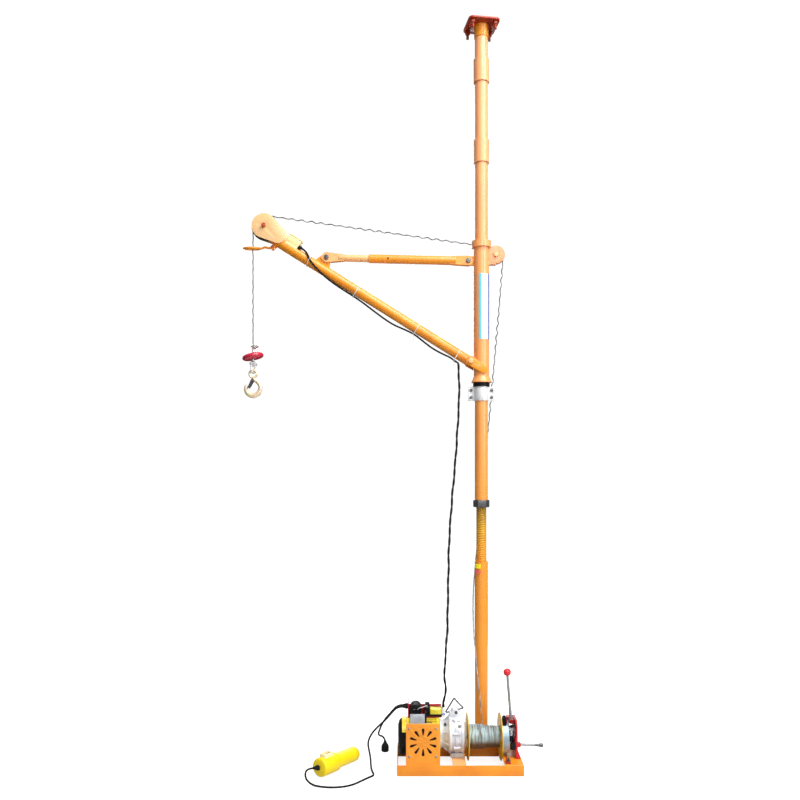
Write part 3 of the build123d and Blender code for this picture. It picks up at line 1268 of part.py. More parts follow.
def pendant_body(wall):
    """The pendant's outside, or its hollow inside a wall, in the pendant's own frame."""
    head = PENDANT_HEAD_R - wall
    grip = PENDANT_GRIP_R - wall
    tail = PENDANT_L - wall
    edge = PENDANT_EDGE
    profile = [
        (wall, 0),
        (wall, head - edge),
        (wall + edge, head),
        (PENDANT_HEAD_L - wall, head),
        (PENDANT_HEAD_L + edge - wall, grip),
        (tail - edge, grip),
        (tail, grip - edge),
        (tail, 0),
    ]
    return turned(profile, (0, 0, 0), (1, 0, 0))


def pendant():
    place = pendant_place()
    tail = PENDANT_L
    w = PENDANT_WALL
    shell = pendant_body(0) - pendant_body(w)
    gland = pendant_gland()
    shell -= gland
    wide = 2 * PENDANT_HEAD_R
    upper = shell & block(-1, tail + 1, -wide, wide, 0, wide)
    lower = shell & block(-1, tail + 1, -wide, wide, -wide, 0)
    wall_in = BUTTON_D / 2 + 2
    top = PENDANT_HEAD_R + GUARD_RISE
    fence_x = (BUTTON_AT - BUTTON_PITCH / 2 - wall_in, BUTTON_AT + BUTTON_PITCH / 2 + wall_in)
    fence = None
    for y in (-wall_in - GUARD_WALL, wall_in):
        wall = block(*fence_x, y, y + GUARD_WALL, 0.8 * PENDANT_HEAD_R, top)
        wall = fillet(wall.edges().filter_by(Axis.Y).group_by(Axis.Z)[-1], GUARD_RISE)
        fence = wall if fence is None else fence + wall
    fence -= cyl((0, 0, 0), (1, 0, 0), PENDANT_HEAD_R - w, tail)
    upper += fence
    buttons = []
    for x in (BUTTON_AT - BUTTON_PITCH / 2, BUTTON_AT + BUTTON_PITCH / 2):
        upper -= cyl((x, 0, 0), (0, 0, 1), BUTTON_D / 2 + RUN, wide)
        low = PENDANT_HEAD_R - 3 * w
        cap = cyl((x, 0, low), (0, 0, 1), BUTTON_D / 2, PENDANT_HEAD_R + BUTTON_STAND - low)
        buttons.append(chamfer(cap.edges().filter_by(GeomType.CIRCLE).group_by(Axis.Z)[-1], 1.5))
    save("pendant_upper", max((place * upper).solids(), key=lambda s: s.volume))
    save("pendant_lower", whole(place * lower))
    save("up_button", place * buttons[0])
    save("down_button", place * buttons[1])


def gland_way():
    """The direction in which the pendant's gland points, in the pendant's own frame."""
    angle = math.radians(180 + PENDANT_GLAND_TURN)
    return Vector(math.cos(angle), math.sin(angle), 0)


def pendant_gland():
    """The gland on the pendant's head, in the pendant's own frame."""
    r = PENDANT_GLAND_D / 2
    profile = [
        (-2 * PENDANT_WALL, 0),
        (-2 * PENDANT_WALL, r),
        (r, r),
        (PENDANT_GLAND_L, CABLE_R + 1),
        (PENDANT_GLAND_L, 0),
    ]
    return turned(profile, (0, 0, 0), gland_way())


# Rope and cables
def rope():
    slope = head_tangent()
    up = Vector(0, 0, 1)
    head_side = Vector(FALL_X, 0, HEAD_H.Z - ROPE_D)
    guide_side = Vector(GUIDE_DROP_X, GUIDE_Y, GUIDE_G.Z - ROPE_D)
    head_corner = head_side + up * (slope[0] + ROPE_D)
    guide_corner = guide_side + up * (slope[1] + ROPE_D)
    span = FilletPolyline(
        guide_side, guide_corner, head_corner, head_side, radius=[GUIDE_ROPE_R, HEAD_ROPE_R]
    )
    save("rope_span", tube_along(span, ROPE_R, "rope span"))
    hang = head_side.Z - CLIP_TOP
    save("rope_hang", cyl(head_side, -up, ROPE_R, hang))
    radius = DRUM_CORE_R + ROPE_D + ROPE_R + FIT
    way = Vector(WIND_PITCH, 0, 2 * math.pi * radius).normalized()
    lead = Vector(winding_lead(), AXIS_Y + radius, AXIS_Z) + way * ROPE_D
    points = [guide_side, guide_side - up * (10 * ROPE_D), *ROPE_DROP, lead + way * (10 * ROPE_D), lead]
    save("rope_drop", tube_along(route(points, "rope drop"), ROPE_R, "rope drop"))


def head_tangent():
    """How far above the sheaves' sides the rope's level run meets the two drops."""
    across = Vector(GUIDE_G.X, 0, GUIDE_G.Z) - Vector(HEAD_H.X, 0, HEAD_H.Z)
    long = across.length
    tilt = math.atan2(across.Z, across.X) + math.asin((HEAD_ROPE_R - GUIDE_ROPE_R) / long) * -1
    normal = Vector(-math.sin(tilt), 0, math.cos(tilt))
    grade = math.tan(tilt)
    head_touch = HEAD_H + normal * HEAD_ROPE_R
    guide_touch = Vector(GUIDE_G.X, 0, GUIDE_G.Z) + normal * GUIDE_ROPE_R
    head_up = head_touch.Z + grade * (FALL_X - head_touch.X) - HEAD_H.Z
    guide_up = guide_touch.Z + grade * (GUIDE_DROP_X - guide_touch.X) - GUIDE_G.Z
    return head_up, guide_up


# The rope's way down: behind the column from right to left, round the lower post to the drum
ROPE_DROP = [
    (6, 46, 1100),
    (-22, 39, 850),
    (-40, 6, 640),
    (-26, -46, 400),
]
# The pendant's cable, from the tray to the floor and round to the pendant
PENDANT_ROUTE = [
    (-396, -102, 214),
    (-425, -108, 183),
    (-456, -113, 158),
    (-481, -117, 130),
    (-495, -119, 97),
    (-494, -122, 63),
    (-486, -131, 32),
    (-480, -154, 9),
    (-474, -190, 3.6),
    (-468, -228, 3.6),
    (-485, -256, 3.6),
    (-511, -287, 3.6),
    (-540, -323, 3.6),
    (-577, -346, 3.6),
    (-622, -354, 3.6),
    (-668, -348, 3.6),
    (-709, -336, 7),
    (-738, -312, 24),
]
# The mains lead, from the tray to its plug on the floor
POWER_ROUTE = [
    (-397, -66, 216),
    (-418, -52, 186),
    (-433, -35, 156),
    (-443, -14, 126),
    (-446, 11, 100),
    (-438, 34, 84),
]
# The limit switch's cable under the boom, as places on the boom (along, rise, y)
BOOM_CABLE = [
    (836, 18, -24),
    (812, 2, -30),
    (781, -15, -26),
    (745, -27, -14),
    (690, -33, -6),
    (635, -31, -5),
    (586, -27.5, -5),
    (535, -31, -5),
    (480, -38, -4),
    (425, -41, -4),
    (370, -38, -4),
    (320, -31, -5),
    (274, -27.5, -5),
    (225, -34, -5),
    (170, -43, -5),
    (115, -38, -6),
    (80, -30, -8),
    (58, -34, -9),
]
# The same cable hanging from the boom's foot to the tray
DROP_ROUTE = [
    (-98, -13, 1682),
    (-98.5, -18, 1600),
    (-102, -24, 1505),
    (-108, -30, 1408),
    (-115.5, -37, 1310),
    (-124, -45, 1212),
    (-133.5, -54, 1115),
    (-141.5, -64, 1018),
    (-147, -73.5, 922),
    (-150, -82, 826),
    (-152, -91.5, 730),
    (-154, -100, 634),
    (-158, -108, 540),
    (-165, -109, 448),
    (-169, -106, 372),
    (-166, -103.5, 320),
]


def cables():
    floor = AXIS_Z + MOTOR_OD / 2
    hole_z = floor + TRAY_SIDE_H - 1.5 * GLAND_D
    middle_y = (TRAY_FRONT + TRAY_BACK) / 2
    exits = [Vector(TRAY_LEFT, middle_y + side * GLAND_PITCH / 2, hole_z) for side in (-1, 1)]
    left = Vector(-1, 0, 0)
    planes = [Plane(origin=at, z_dir=left) for at in exits]
    glands = [Solid.make_cone(GLAND_D / 2, CABLE_R + 1, GLAND_L, plane) for plane in planes]
    wide, deep, high = SOCKET
    inlet_x = TRAY_RIGHT + wide / 2
    socket_y = DROP_ROUTE[-1][1]
    low = floor + TRAY_T
    socket_sides = (socket_y - deep / 2, socket_y + deep / 2)
    socket = block(TRAY_RIGHT, TRAY_RIGHT + wide, *socket_sides, low, low + high)
    glands.append(socket + cyl((inlet_x, socket_y, low + high), (0, 0, 1), BOOT_R, BOOT_L))
    place = pendant_place()
    glands.append(place * pendant_gland())
    save("cable_glands", *glands)
    mouth = (place * Pos(*(gland_way() * PENDANT_GLAND_L))).position
    ahead = (place * Pos(*(gland_way() * (PENDANT_GLAND_L + 4 * CABLE_D)))).position
    start, power_start = [at + left * GLAND_L for at in exits]
    pendant_points = [start, start + left * (3 * CABLE_D), *PENDANT_ROUTE, ahead, mouth]
    save("pendant_cable", tube_along(route(pendant_points, "pendant cable"), CABLE_R, "pendant cable"))
    plug_top = Vector(PLUG_AT[0], PLUG_AT[1], PLUG_L)
    up = Vector(0, 0, 1)
    straight = 3 * CABLE_D
    power_points = [power_start, power_start + left * straight, *POWER_ROUTE]
    power_points += [plug_top + up * straight, plug_top]
    save("power_lead", tube_along(route(power_points, "power lead"), CABLE_R, "power lead"))
    plug = turned(
        [(0, 0), (0, PLUG_D / 2 - 3), (3, PLUG_D / 2), (0.6 * PLUG_L, PLUG_D / 2),
         (PLUG_L, CABLE_R + 2), (PLUG_L, 0)],
        (PLUG_AT[0], PLUG_AT[1], 0),
        (0, 0, 1),
    )
    save("mains_plug", plug)
    boom_points = [switch_gland_at(GLAND_L), switch_gland_at(GLAND_L + straight)]
    boom_points += [on_boom(*p) for p in BOOM_CABLE]
    save("limit_cable_boom", tube_along(route(boom_points, "boom cable"), CABLE_R, "boom cable"))
    leave = boom_points[-1]
    onward = leave + (leave - boom_points[-2]).normalized() * straight
    inlet = Vector(inlet_x, socket_y, low + high + BOOT_L)
    drop_points = [leave, onward, *DROP_ROUTE, inlet + Vector(0, 0, 4 * CABLE_D), inlet]
    save("limit_cable_drop", tube_along(route(drop_points, "cable drop"), CABLE_R, "cable drop"))


base_frame()
column()
swing()
boom()
hook_set()
drum()
brake_and_levers()
motor()
gearbox()
electrics()
pendant()
rope()
cables()
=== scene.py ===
"""Finishes and modelled pieces of a column crane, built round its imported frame."""
import json
import math

import bmesh
import bpy
from bpy.props import FloatProperty, FloatVectorProperty, IntProperty, PointerProperty
from mathutils import Matrix, Vector

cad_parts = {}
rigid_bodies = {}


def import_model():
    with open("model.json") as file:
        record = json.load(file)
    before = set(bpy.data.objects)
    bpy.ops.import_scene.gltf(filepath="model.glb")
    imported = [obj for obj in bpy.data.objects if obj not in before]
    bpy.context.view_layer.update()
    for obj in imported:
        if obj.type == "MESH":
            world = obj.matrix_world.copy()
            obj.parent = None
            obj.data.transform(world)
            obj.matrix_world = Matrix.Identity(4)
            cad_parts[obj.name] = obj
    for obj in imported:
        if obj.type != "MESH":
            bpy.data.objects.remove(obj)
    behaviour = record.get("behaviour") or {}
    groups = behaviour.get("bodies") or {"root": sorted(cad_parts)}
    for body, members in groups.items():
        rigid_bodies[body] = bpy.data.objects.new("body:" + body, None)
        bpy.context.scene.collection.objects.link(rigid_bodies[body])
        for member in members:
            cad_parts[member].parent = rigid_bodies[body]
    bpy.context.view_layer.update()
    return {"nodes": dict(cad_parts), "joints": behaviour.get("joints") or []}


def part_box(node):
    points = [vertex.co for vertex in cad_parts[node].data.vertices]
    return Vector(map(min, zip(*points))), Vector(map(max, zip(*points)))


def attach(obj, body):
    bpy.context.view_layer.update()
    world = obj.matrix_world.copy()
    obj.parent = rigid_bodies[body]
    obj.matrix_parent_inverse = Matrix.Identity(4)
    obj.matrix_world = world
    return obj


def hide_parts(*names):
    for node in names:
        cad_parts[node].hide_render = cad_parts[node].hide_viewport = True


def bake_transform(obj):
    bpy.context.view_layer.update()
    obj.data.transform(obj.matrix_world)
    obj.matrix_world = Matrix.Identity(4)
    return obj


bl_info = {
    "name": "Column crane dressing",
    "version": (1, 0, 0),
    "blender": (4, 5, 0),
    "location": "3D View > Sidebar > Crane",
    "description": "Paint, ropes, cables and fittings of a column crane with its winch and pendant",
    "category": "Object",
}

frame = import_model()
JOINTS = {joint["name"]: joint for joint in frame["joints"]}

# Places that many pieces share, from the frame's joints
BOOM_PIVOT = Vector(JOINTS["boom_luff"]["pos_m"])
HEAD_AXLE = Vector(JOINTS["head_spin"]["pos_m"])
HOOK_AXIS = Vector(JOINTS["hook_swivel"]["pos_m"])
WINCH = Vector(JOINTS["drum_spin"]["pos_m"])
CLUTCH_PIN = Vector(JOINTS["clutch_tilt"]["pos_m"])
BRAKE_PIN = Vector(JOINTS["brake_press"]["pos_m"])
BUTTON_WAY = Vector(JOINTS["up_press"]["axis"]).normalized()
BOOM_ANGLE = math.radians(32)
PENDANT = Matrix((
    (0.567134, -0.822943, 0.033512, -0.687),
    (0.82151, 0.568124, 0.048544, -0.259),
    (-0.058988, 0, 0.998259, 0.04407),
    (0, 0, 0, 1),
))
X = Vector((1, 0, 0))
Y = Vector((0, 1, 0))
Z = Vector((0, 0, 1))


def low(node):
    """The lowest corner of a node's box."""
    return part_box(node)[0]


def high(node):
    """The highest corner of a node's box."""
    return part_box(node)[1]


def middle(node):
    """The middle of a node's box."""
    return (low(node) + high(node)) / 2


def length_prop(label, words, default):
    """A length that a user may change."""
    return FloatProperty(name=label, description=words, default=default, unit="LENGTH", precision=4)


def colour_prop(label, words, default):
    """A colour that a user may change."""
    return FloatVectorProperty(name=label, description=words, default=default, subtype="COLOR", min=0, max=1)


class CraneSizes(bpy.types.PropertyGroup):
    """Sizes of the pieces that the frame leaves open."""

    rope_d: length_prop("Rope", "Diameter of the wire rope", 0.005)
    rope_lay: length_prop("Rope lay", "Length in which a strand goes once round the rope", 0.032)
    rope_wave: length_prop("Rope wave", "How far the slack rope strays from its line", 0.0034)
    strands: IntProperty(name="Strands", description="Strands of the wire rope", default=6, min=3)
    cable_d: length_prop("Cable", "Diameter of the electric cables", 0.008)
    twin_d: length_prop("Twin cable", "Width of the twisted limit cable", 0.0105)
    twin_lay: length_prop("Twin lay", "Length in which the twisted cable goes once round", 0.085)
    thread_pitch: length_prop("Thread pitch", "Pitch of the screw post's thread", 0.010)
    thread_depth: length_prop("Thread depth", "Depth of the screw post's thread", 0.0014)
    label_h: length_prop("Label height", "Height of the blank label on the sleeve", 0.286)
    label_low: length_prop("Label foot", "Height of the label's lower edge", 1.8245)
    fin_h: length_prop("Fins", "Height of the motor's cooling fins", 0.009)
    fins: IntProperty(name="Fin count", description="Cooling fins round the motor", default=30, min=8)


class CraneColours(bpy.types.PropertyGroup):
    """Colours of the finishes."""

    orange: colour_prop("Orange", "Enamel of the steelwork", (0.90, 0.305, 0.012))
    orange_shade: colour_prop("Orange shade", "Thin or dusty enamel", (0.80, 0.235, 0.010))
    # A paler orange for the stay's inner tube, the gearbox pedestal and the swing's pins
    pale_orange: colour_prop("Pale orange", "Paler orange enamel", (0.92, 0.50, 0.21))
    rust: colour_prop("Chips", "Primer and rust under chipped enamel", (0.19, 0.05, 0.02))
    red: colour_prop("Red", "Enamel of the brake plate", (0.52, 0.010, 0.020))
    dark_red: colour_prop("Dark red", "Enamel of the tray and weight", (0.42, 0.012, 0.022))
    yellow: colour_prop("Yellow", "Enamel of the motor", (0.86, 0.66, 0.02))
    pendant: colour_prop("Pendant", "Moulded yellow of the pendant", (0.95, 0.70, 0.004))
    cream: colour_prop("Cream", "Moulded cream of the limit switch", (0.90, 0.76, 0.36))
    gold: colour_prop("Gold", "Yellow passivated zinc", (0.90, 0.57, 0.035))
    hook: colour_prop("Hook", "Lacquer of the hook", (0.90, 0.74, 0.42))
    zinc: colour_prop("Zinc", "Bright zinc", (0.74, 0.75, 0.75))
    silver: colour_prop("Silver", "Paint of the castings", (0.82, 0.85, 0.90))
    iron: colour_prop("Iron", "Dark iron", (0.115, 0.10, 0.092))
    grease: colour_prop("Grease", "Greased thread", (0.66, 0.34, 0.012))
    wire: colour_prop("Wire", "Galvanised wire", (0.80, 0.81, 0.82))
    black: colour_prop("Black", "Moulded black", (0.007, 0.007, 0.008))
    rubber: colour_prop("Rubber", "Cable sheath", (0.010, 0.0095, 0.0095))
    floor: colour_prop("Floor", "Pale studio floor", (0.55, 0.55, 0.55))


def sizes():
    """The sizes that the scene holds."""
    return bpy.context.scene.crane_sizes


def colours():
    """The colours that the scene holds."""
    return bpy.context.scene.crane_colours


# Finishes
class Finish:
    """A material being made: its shader, its object coordinates and short ways to add nodes."""

    def __init__(self, name):
        self.material = bpy.data.materials.new(name)
        self.material.use_nodes = True
        self.tree = self.material.node_tree
        self.shader = self.tree.nodes["Principled BSDF"]
        self.place = self.node("ShaderNodeTexCoord").outputs["Object"]

    def node(self, kind, **settings):
        """A new node with its settings."""
        made = self.tree.nodes.new(kind)
        for key, value in settings.items():
            setattr(made, key, value)
        return made

    def join(self, source, target):
        """A link between two sockets."""
        self.tree.links.new(source, target)

    def set(self, **values):
        """Values of the shader's own sockets, by their names with underscores."""
        for key, value in values.items():
            self.shader.inputs[key.replace("_", " ")].default_value = value

    def along(self, axis, place=None):
        """One coordinate of the object, or of a map."""
        made = self.node("ShaderNodeSeparateXYZ")
        self.join(place or self.place, made.inputs["Vector"])
        return made.outputs[axis]

    def noise(self, scale, detail, stretch=None):
        """A noise over the object, stretched along an axis if asked."""
        place = self.place
        if stretch:
            mapping = self.node("ShaderNodeMapping")
            mapping.inputs["Scale"].default_value = stretch
            self.join(place, mapping.inputs["Vector"])
            place = mapping.outputs["Vector"]
        made = self.node("ShaderNodeTexNoise")
        made.inputs["Scale"].default_value = scale
        made.inputs["Detail"].default_value = detail
        self.join(place, made.inputs["Vector"])
        return made.outputs["Fac"]

    def ramp(self, source, *stops):
        """Colours along a value, from (place, colour) stops."""
        made = self.node("ShaderNodeValToRGB")
        elements = made.color_ramp.elements
        while len(elements) < len(stops):
            elements.new(0.5)
        for element, (place, colour) in zip(elements, stops):
            element.position = place
            element.color = (*colour[:3], 1)
        self.join(source, made.inputs["Fac"])
        return made.outputs["Color"]

    def spread(self, source, start, end, first=0.3, last=0.7):
        """A value spread from one range to another."""
        made = self.node("ShaderNodeMapRange")
        for key, value in zip(("From Min", "From Max", "To Min", "To Max"), (first, last, start, end)):
            made.inputs[key].default_value = value
        self.join(source, made.inputs["Value"])
        return made.outputs["Result"]

    def mix(self, share, first, second):
        """Two colours mixed by a share, each a colour or a socket."""
        made = self.node("ShaderNodeMix", data_type="RGBA")
        self.join(share, made.inputs["Factor"])
        for key, value in (("A", first), ("B", second)):
            socket = [s for s in made.inputs if s.name == key and s.type == "RGBA"][0]
            if isinstance(value, bpy.types.NodeSocket):
                self.join(value, socket)
            else:
                socket.default_value = (*value[:3], 1)
        return [s for s in made.outputs if s.type == "RGBA"][0]

    def colour(self, source):
        """The shader's colour from a socket."""
        self.join(source, self.shader.inputs["Base Color"])

    def rough(self, source):
        """The shader's roughness from a socket."""
        self.join(source, self.shader.inputs["Roughness"])

    def bump(self, source, distance, strength=0.4):
        """A height in the surface."""
        made = self.node("ShaderNodeBump")
        made.inputs["Strength"].default_value = strength
        made.inputs["Distance"].default_value = distance
        self.join(source, made.inputs["Height"])
        self.join(made.outputs["Normal"], self.shader.inputs["Normal"])


def shade_of(colour, share):
    """A colour made darker or paler."""
    return tuple(min(1.0, part * share) for part in colour)


# Heights and edges between which a finish changes, in metres
# painted light: heights between which the column's enamel is painted paler upwards
PAINTED_LIGHT_HEIGHTS = (0.6, 2.7)
PAINT_STAIN_HEIGHTS = (0.86, 1.0)
# Heights over which the thread turns darker below the nut
NUT_DARKENING_HEIGHTS = (0.98, 1.10)
# painted shade: heights below the winch axis over which the wound rope is painted dark brown
DRUM_PAINTED_SHADE_HEIGHTS = (WINCH.z - 0.021, WINCH.z - 0.002)
LABEL_EDGES = (-0.0145, 0.0338)

# Coat weight, coat roughness and specular level of the enamels
GLOSSY = (0.45, 0.24, 0.42)
# Gloss of the column's tubes, used with the enamel that is painted paler upwards as painted light
COLUMN_GLOSS = (0.55, 0.28, 0.45)
THIN = (0.2, 0.24, 0.42)
WORN = (0.1, 0.24, 0.42)


def enamel(name, colour, shade, chips=0.76, gloss=GLOSSY, fade=None):
    """Enamel on steel: uneven film, orange-peel skin and chips down to the primer, painted paler upwards if
    asked, as a painted highlight from the lamps above.
    """
    made = Finish(name)
    film = made.ramp(made.noise(7, 6), (0.30, shade), (0.52, colour), (0.78, shade_of(colour, 1.06)))
    chip = made.ramp(made.noise(55, 8), (chips, (0, 0, 0)), (chips + 0.03, (1, 1, 1)))
    # painted light: the film is mixed upwards towards a pale peach, a painted highlight that is strongest on
    # the column's upper tubes
    if fade:
        film = made.mix(made.spread(made.along("Z"), 0.04, 0.66, *PAINTED_LIGHT_HEIGHTS), film, fade)
    made.colour(made.mix(chip, film, colours().rust))
    made.rough(made.spread(made.noise(22, 5), 0.32, 0.44))
    made.bump(made.noise(420, 2), 0.0003)
    coat, coat_rough, specular = gloss
    made.set(Coat_Weight=coat, Coat_Roughness=coat_rough, Specular_IOR_Level=specular)
    return made.material


def bright_metal(name, colour, rough=0.34, metallic=0.85):
    """Plated or machined metal with fine drawn lines and cloudy stains."""
    made = Finish(name)
    grain = (1, 1, 14)
    made.colour(made.ramp(made.noise(38, 6), (0.28, shade_of(colour, 0.72)), (0.6, colour)))
    made.rough(made.spread(made.noise(160, 4, grain), rough - 0.08, rough + 0.12))
    made.bump(made.noise(700, 2, grain), 0.0002, 0.25)
    made.set(Metallic=metallic)
    return made.material


def cast_metal(name, colour, rough, metallic, pits=260):
    """A painted or raw casting with a sandy skin."""
    made = Finish(name)
    dark, grey = shade_of(colour, 0.5), shade_of(colour, 0.9)
    made.colour(made.ramp(made.noise(16, 7), (0.33, dark), (0.5, grey), (0.62, colour)))
    made.rough(made.spread(made.noise(60, 5), rough - 0.1, rough + 0.12))
    made.bump(made.noise(pits, 5), 0.0008, 0.5)
    made.set(Metallic=metallic)
    return made.material


def moulded(name, colour, rough, grain=900, dust=1.25, shine=0.5):
    """Moulded plastic or rubber with a fine skin and a little dust."""
    made = Finish(name)
    made.colour(made.ramp(made.noise(24, 6), (0.35, colour), (0.8, shade_of(colour, dust))))
    made.rough(made.spread(made.noise(90, 4), rough - 0.07, rough + 0.12))
    made.bump(made.noise(grain, 2), 0.00025, 0.3)
    made.set(Specular_IOR_Level=shine)
    return made.material


def passivated(name, colour, metallic):
    """Yellow passivated zinc, which shimmers between gold, rose and green."""
    made = Finish(name)
    green = (colour[0] * 0.78, colour[1] * 1.05, colour[2] * 1.1)
    rose = (colour[0] * 0.95, colour[1] * 0.72, colour[2] * 1.5)
    made.colour(made.ramp(made.noise(30, 3), (0.3, green), (0.5, colour), (0.72, rose)))
    made.rough(made.spread(made.noise(120, 4), 0.24, 0.40))
    made.bump(made.noise(500, 3), 0.0002, 0.25)
    made.set(Metallic=metallic)
    return made.material


def greased_thread(name, colour, paint):
    """Threaded steel under a film of grease, dark below the nut and stained by paint above the post."""
    made = Finish(name)
    dull, bright = shade_of(colour, 0.8), shade_of(colour, 1.1)
    grit = made.ramp(made.noise(40, 5), (0.32, dull), (0.55, colour), (0.8, bright))
    height = made.along("Z")
    stained = made.mix(made.spread(height, 0.85, 0.0, *PAINT_STAIN_HEIGHTS), grit, paint)
    # darker from 0.98 m to 1.10 m, below the nut
    nut_darkening = made.spread(height, 0.0, 0.75, *NUT_DARKENING_HEIGHTS)
    made.colour(made.mix(nut_darkening, stained, shade_of(colour, 0.34)))
    made.rough(made.spread(made.noise(45, 4), 0.46, 0.6))
    made.bump(made.noise(300, 4), 0.0006)
    made.set(Metallic=0.1, Coat_Weight=0.08, Coat_Roughness=0.4)
    return made.material


def wire_strands(name, colour, grease, streaks=None, underside_shade=None):
    """Galvanised strands, greasy in places, with painted shade darkening the grooves that the rope's own UV
    map counts.
    """
    made = Finish(name)
    groove = made.node("ShaderNodeMath", operation="PINGPONG")
    groove.inputs[1].default_value = 0.5
    made.join(made.along("X", made.node("ShaderNodeUVMap").outputs["UV"]), groove.inputs[0])
    spots = made.noise(1, 3, streaks) if streaks else made.noise(55, 4)
    tone = made.ramp(spots, (0.38, grease), (0.52, colour), (0.66, shade_of(colour, 1.25)))
    # painted shade: below the winch axis the rope turns dark brown, a painted shadow with a painted
    # reflection of the orange frame under the drum
    if underside_shade:
        tone = made.mix(made.spread(made.along("Z"), 0.95, 0.0, *DRUM_PAINTED_SHADE_HEIGHTS), tone, underside_shade)
    # painted shade: the colour darkens towards the grooves between strands
    groove_shade = made.spread(groove.outputs[0], 1.0, 0.0, 0.03, 0.2)
    made.colour(made.mix(groove_shade, tone, shade_of(colour, 0.12)))
    made.rough(made.spread(made.noise(240, 3), 0.28, 0.46))
    made.set(Metallic=0.6)
    return made.material


def label_film(name):
    """A blank film: pale blue along its left edge, white in the middle and violet along its right edge."""
    made = Finish(name)
    sky, haze = (0.12, 0.60, 0.72), (0.62, 0.84, 0.90)
    white, violet = (0.86, 0.90, 0.92), (0.16, 0.20, 0.52)
    across = made.spread(made.along("X"), 0.0, 1.0, *LABEL_EDGES)
    made.colour(made.ramp(across, (0.16, sky), (0.30, haze), (0.44, white), (0.79, white), (0.88, violet)))
    made.rough(made.spread(made.noise(70, 3), 0.2, 0.36))
    made.bump(made.noise(300, 2), 0.0001, 0.2)
    made.set(Coat_Weight=0.3)
    return made.material


def studio_floor(name, colour):
    """A plain pale floor with a faint mottle, which glows a little to meet the white behind it."""
    made = Finish(name)
    made.colour(made.ramp(made.noise(3, 3), (0.3, shade_of(colour, 0.985)), (0.7, colour)))
    made.rough(made.spread(made.noise(9, 3), 0.7, 0.85))
    made.set(Emission_Color=(1, 1, 1, 1))
    ray = made.node("ShaderNodeLightPath").outputs["Is Camera Ray"]
    made.join(made.spread(ray, 0.0, 0.80, 0.0, 1.0), made.shader.inputs["Emission Strength"])
    return made.material


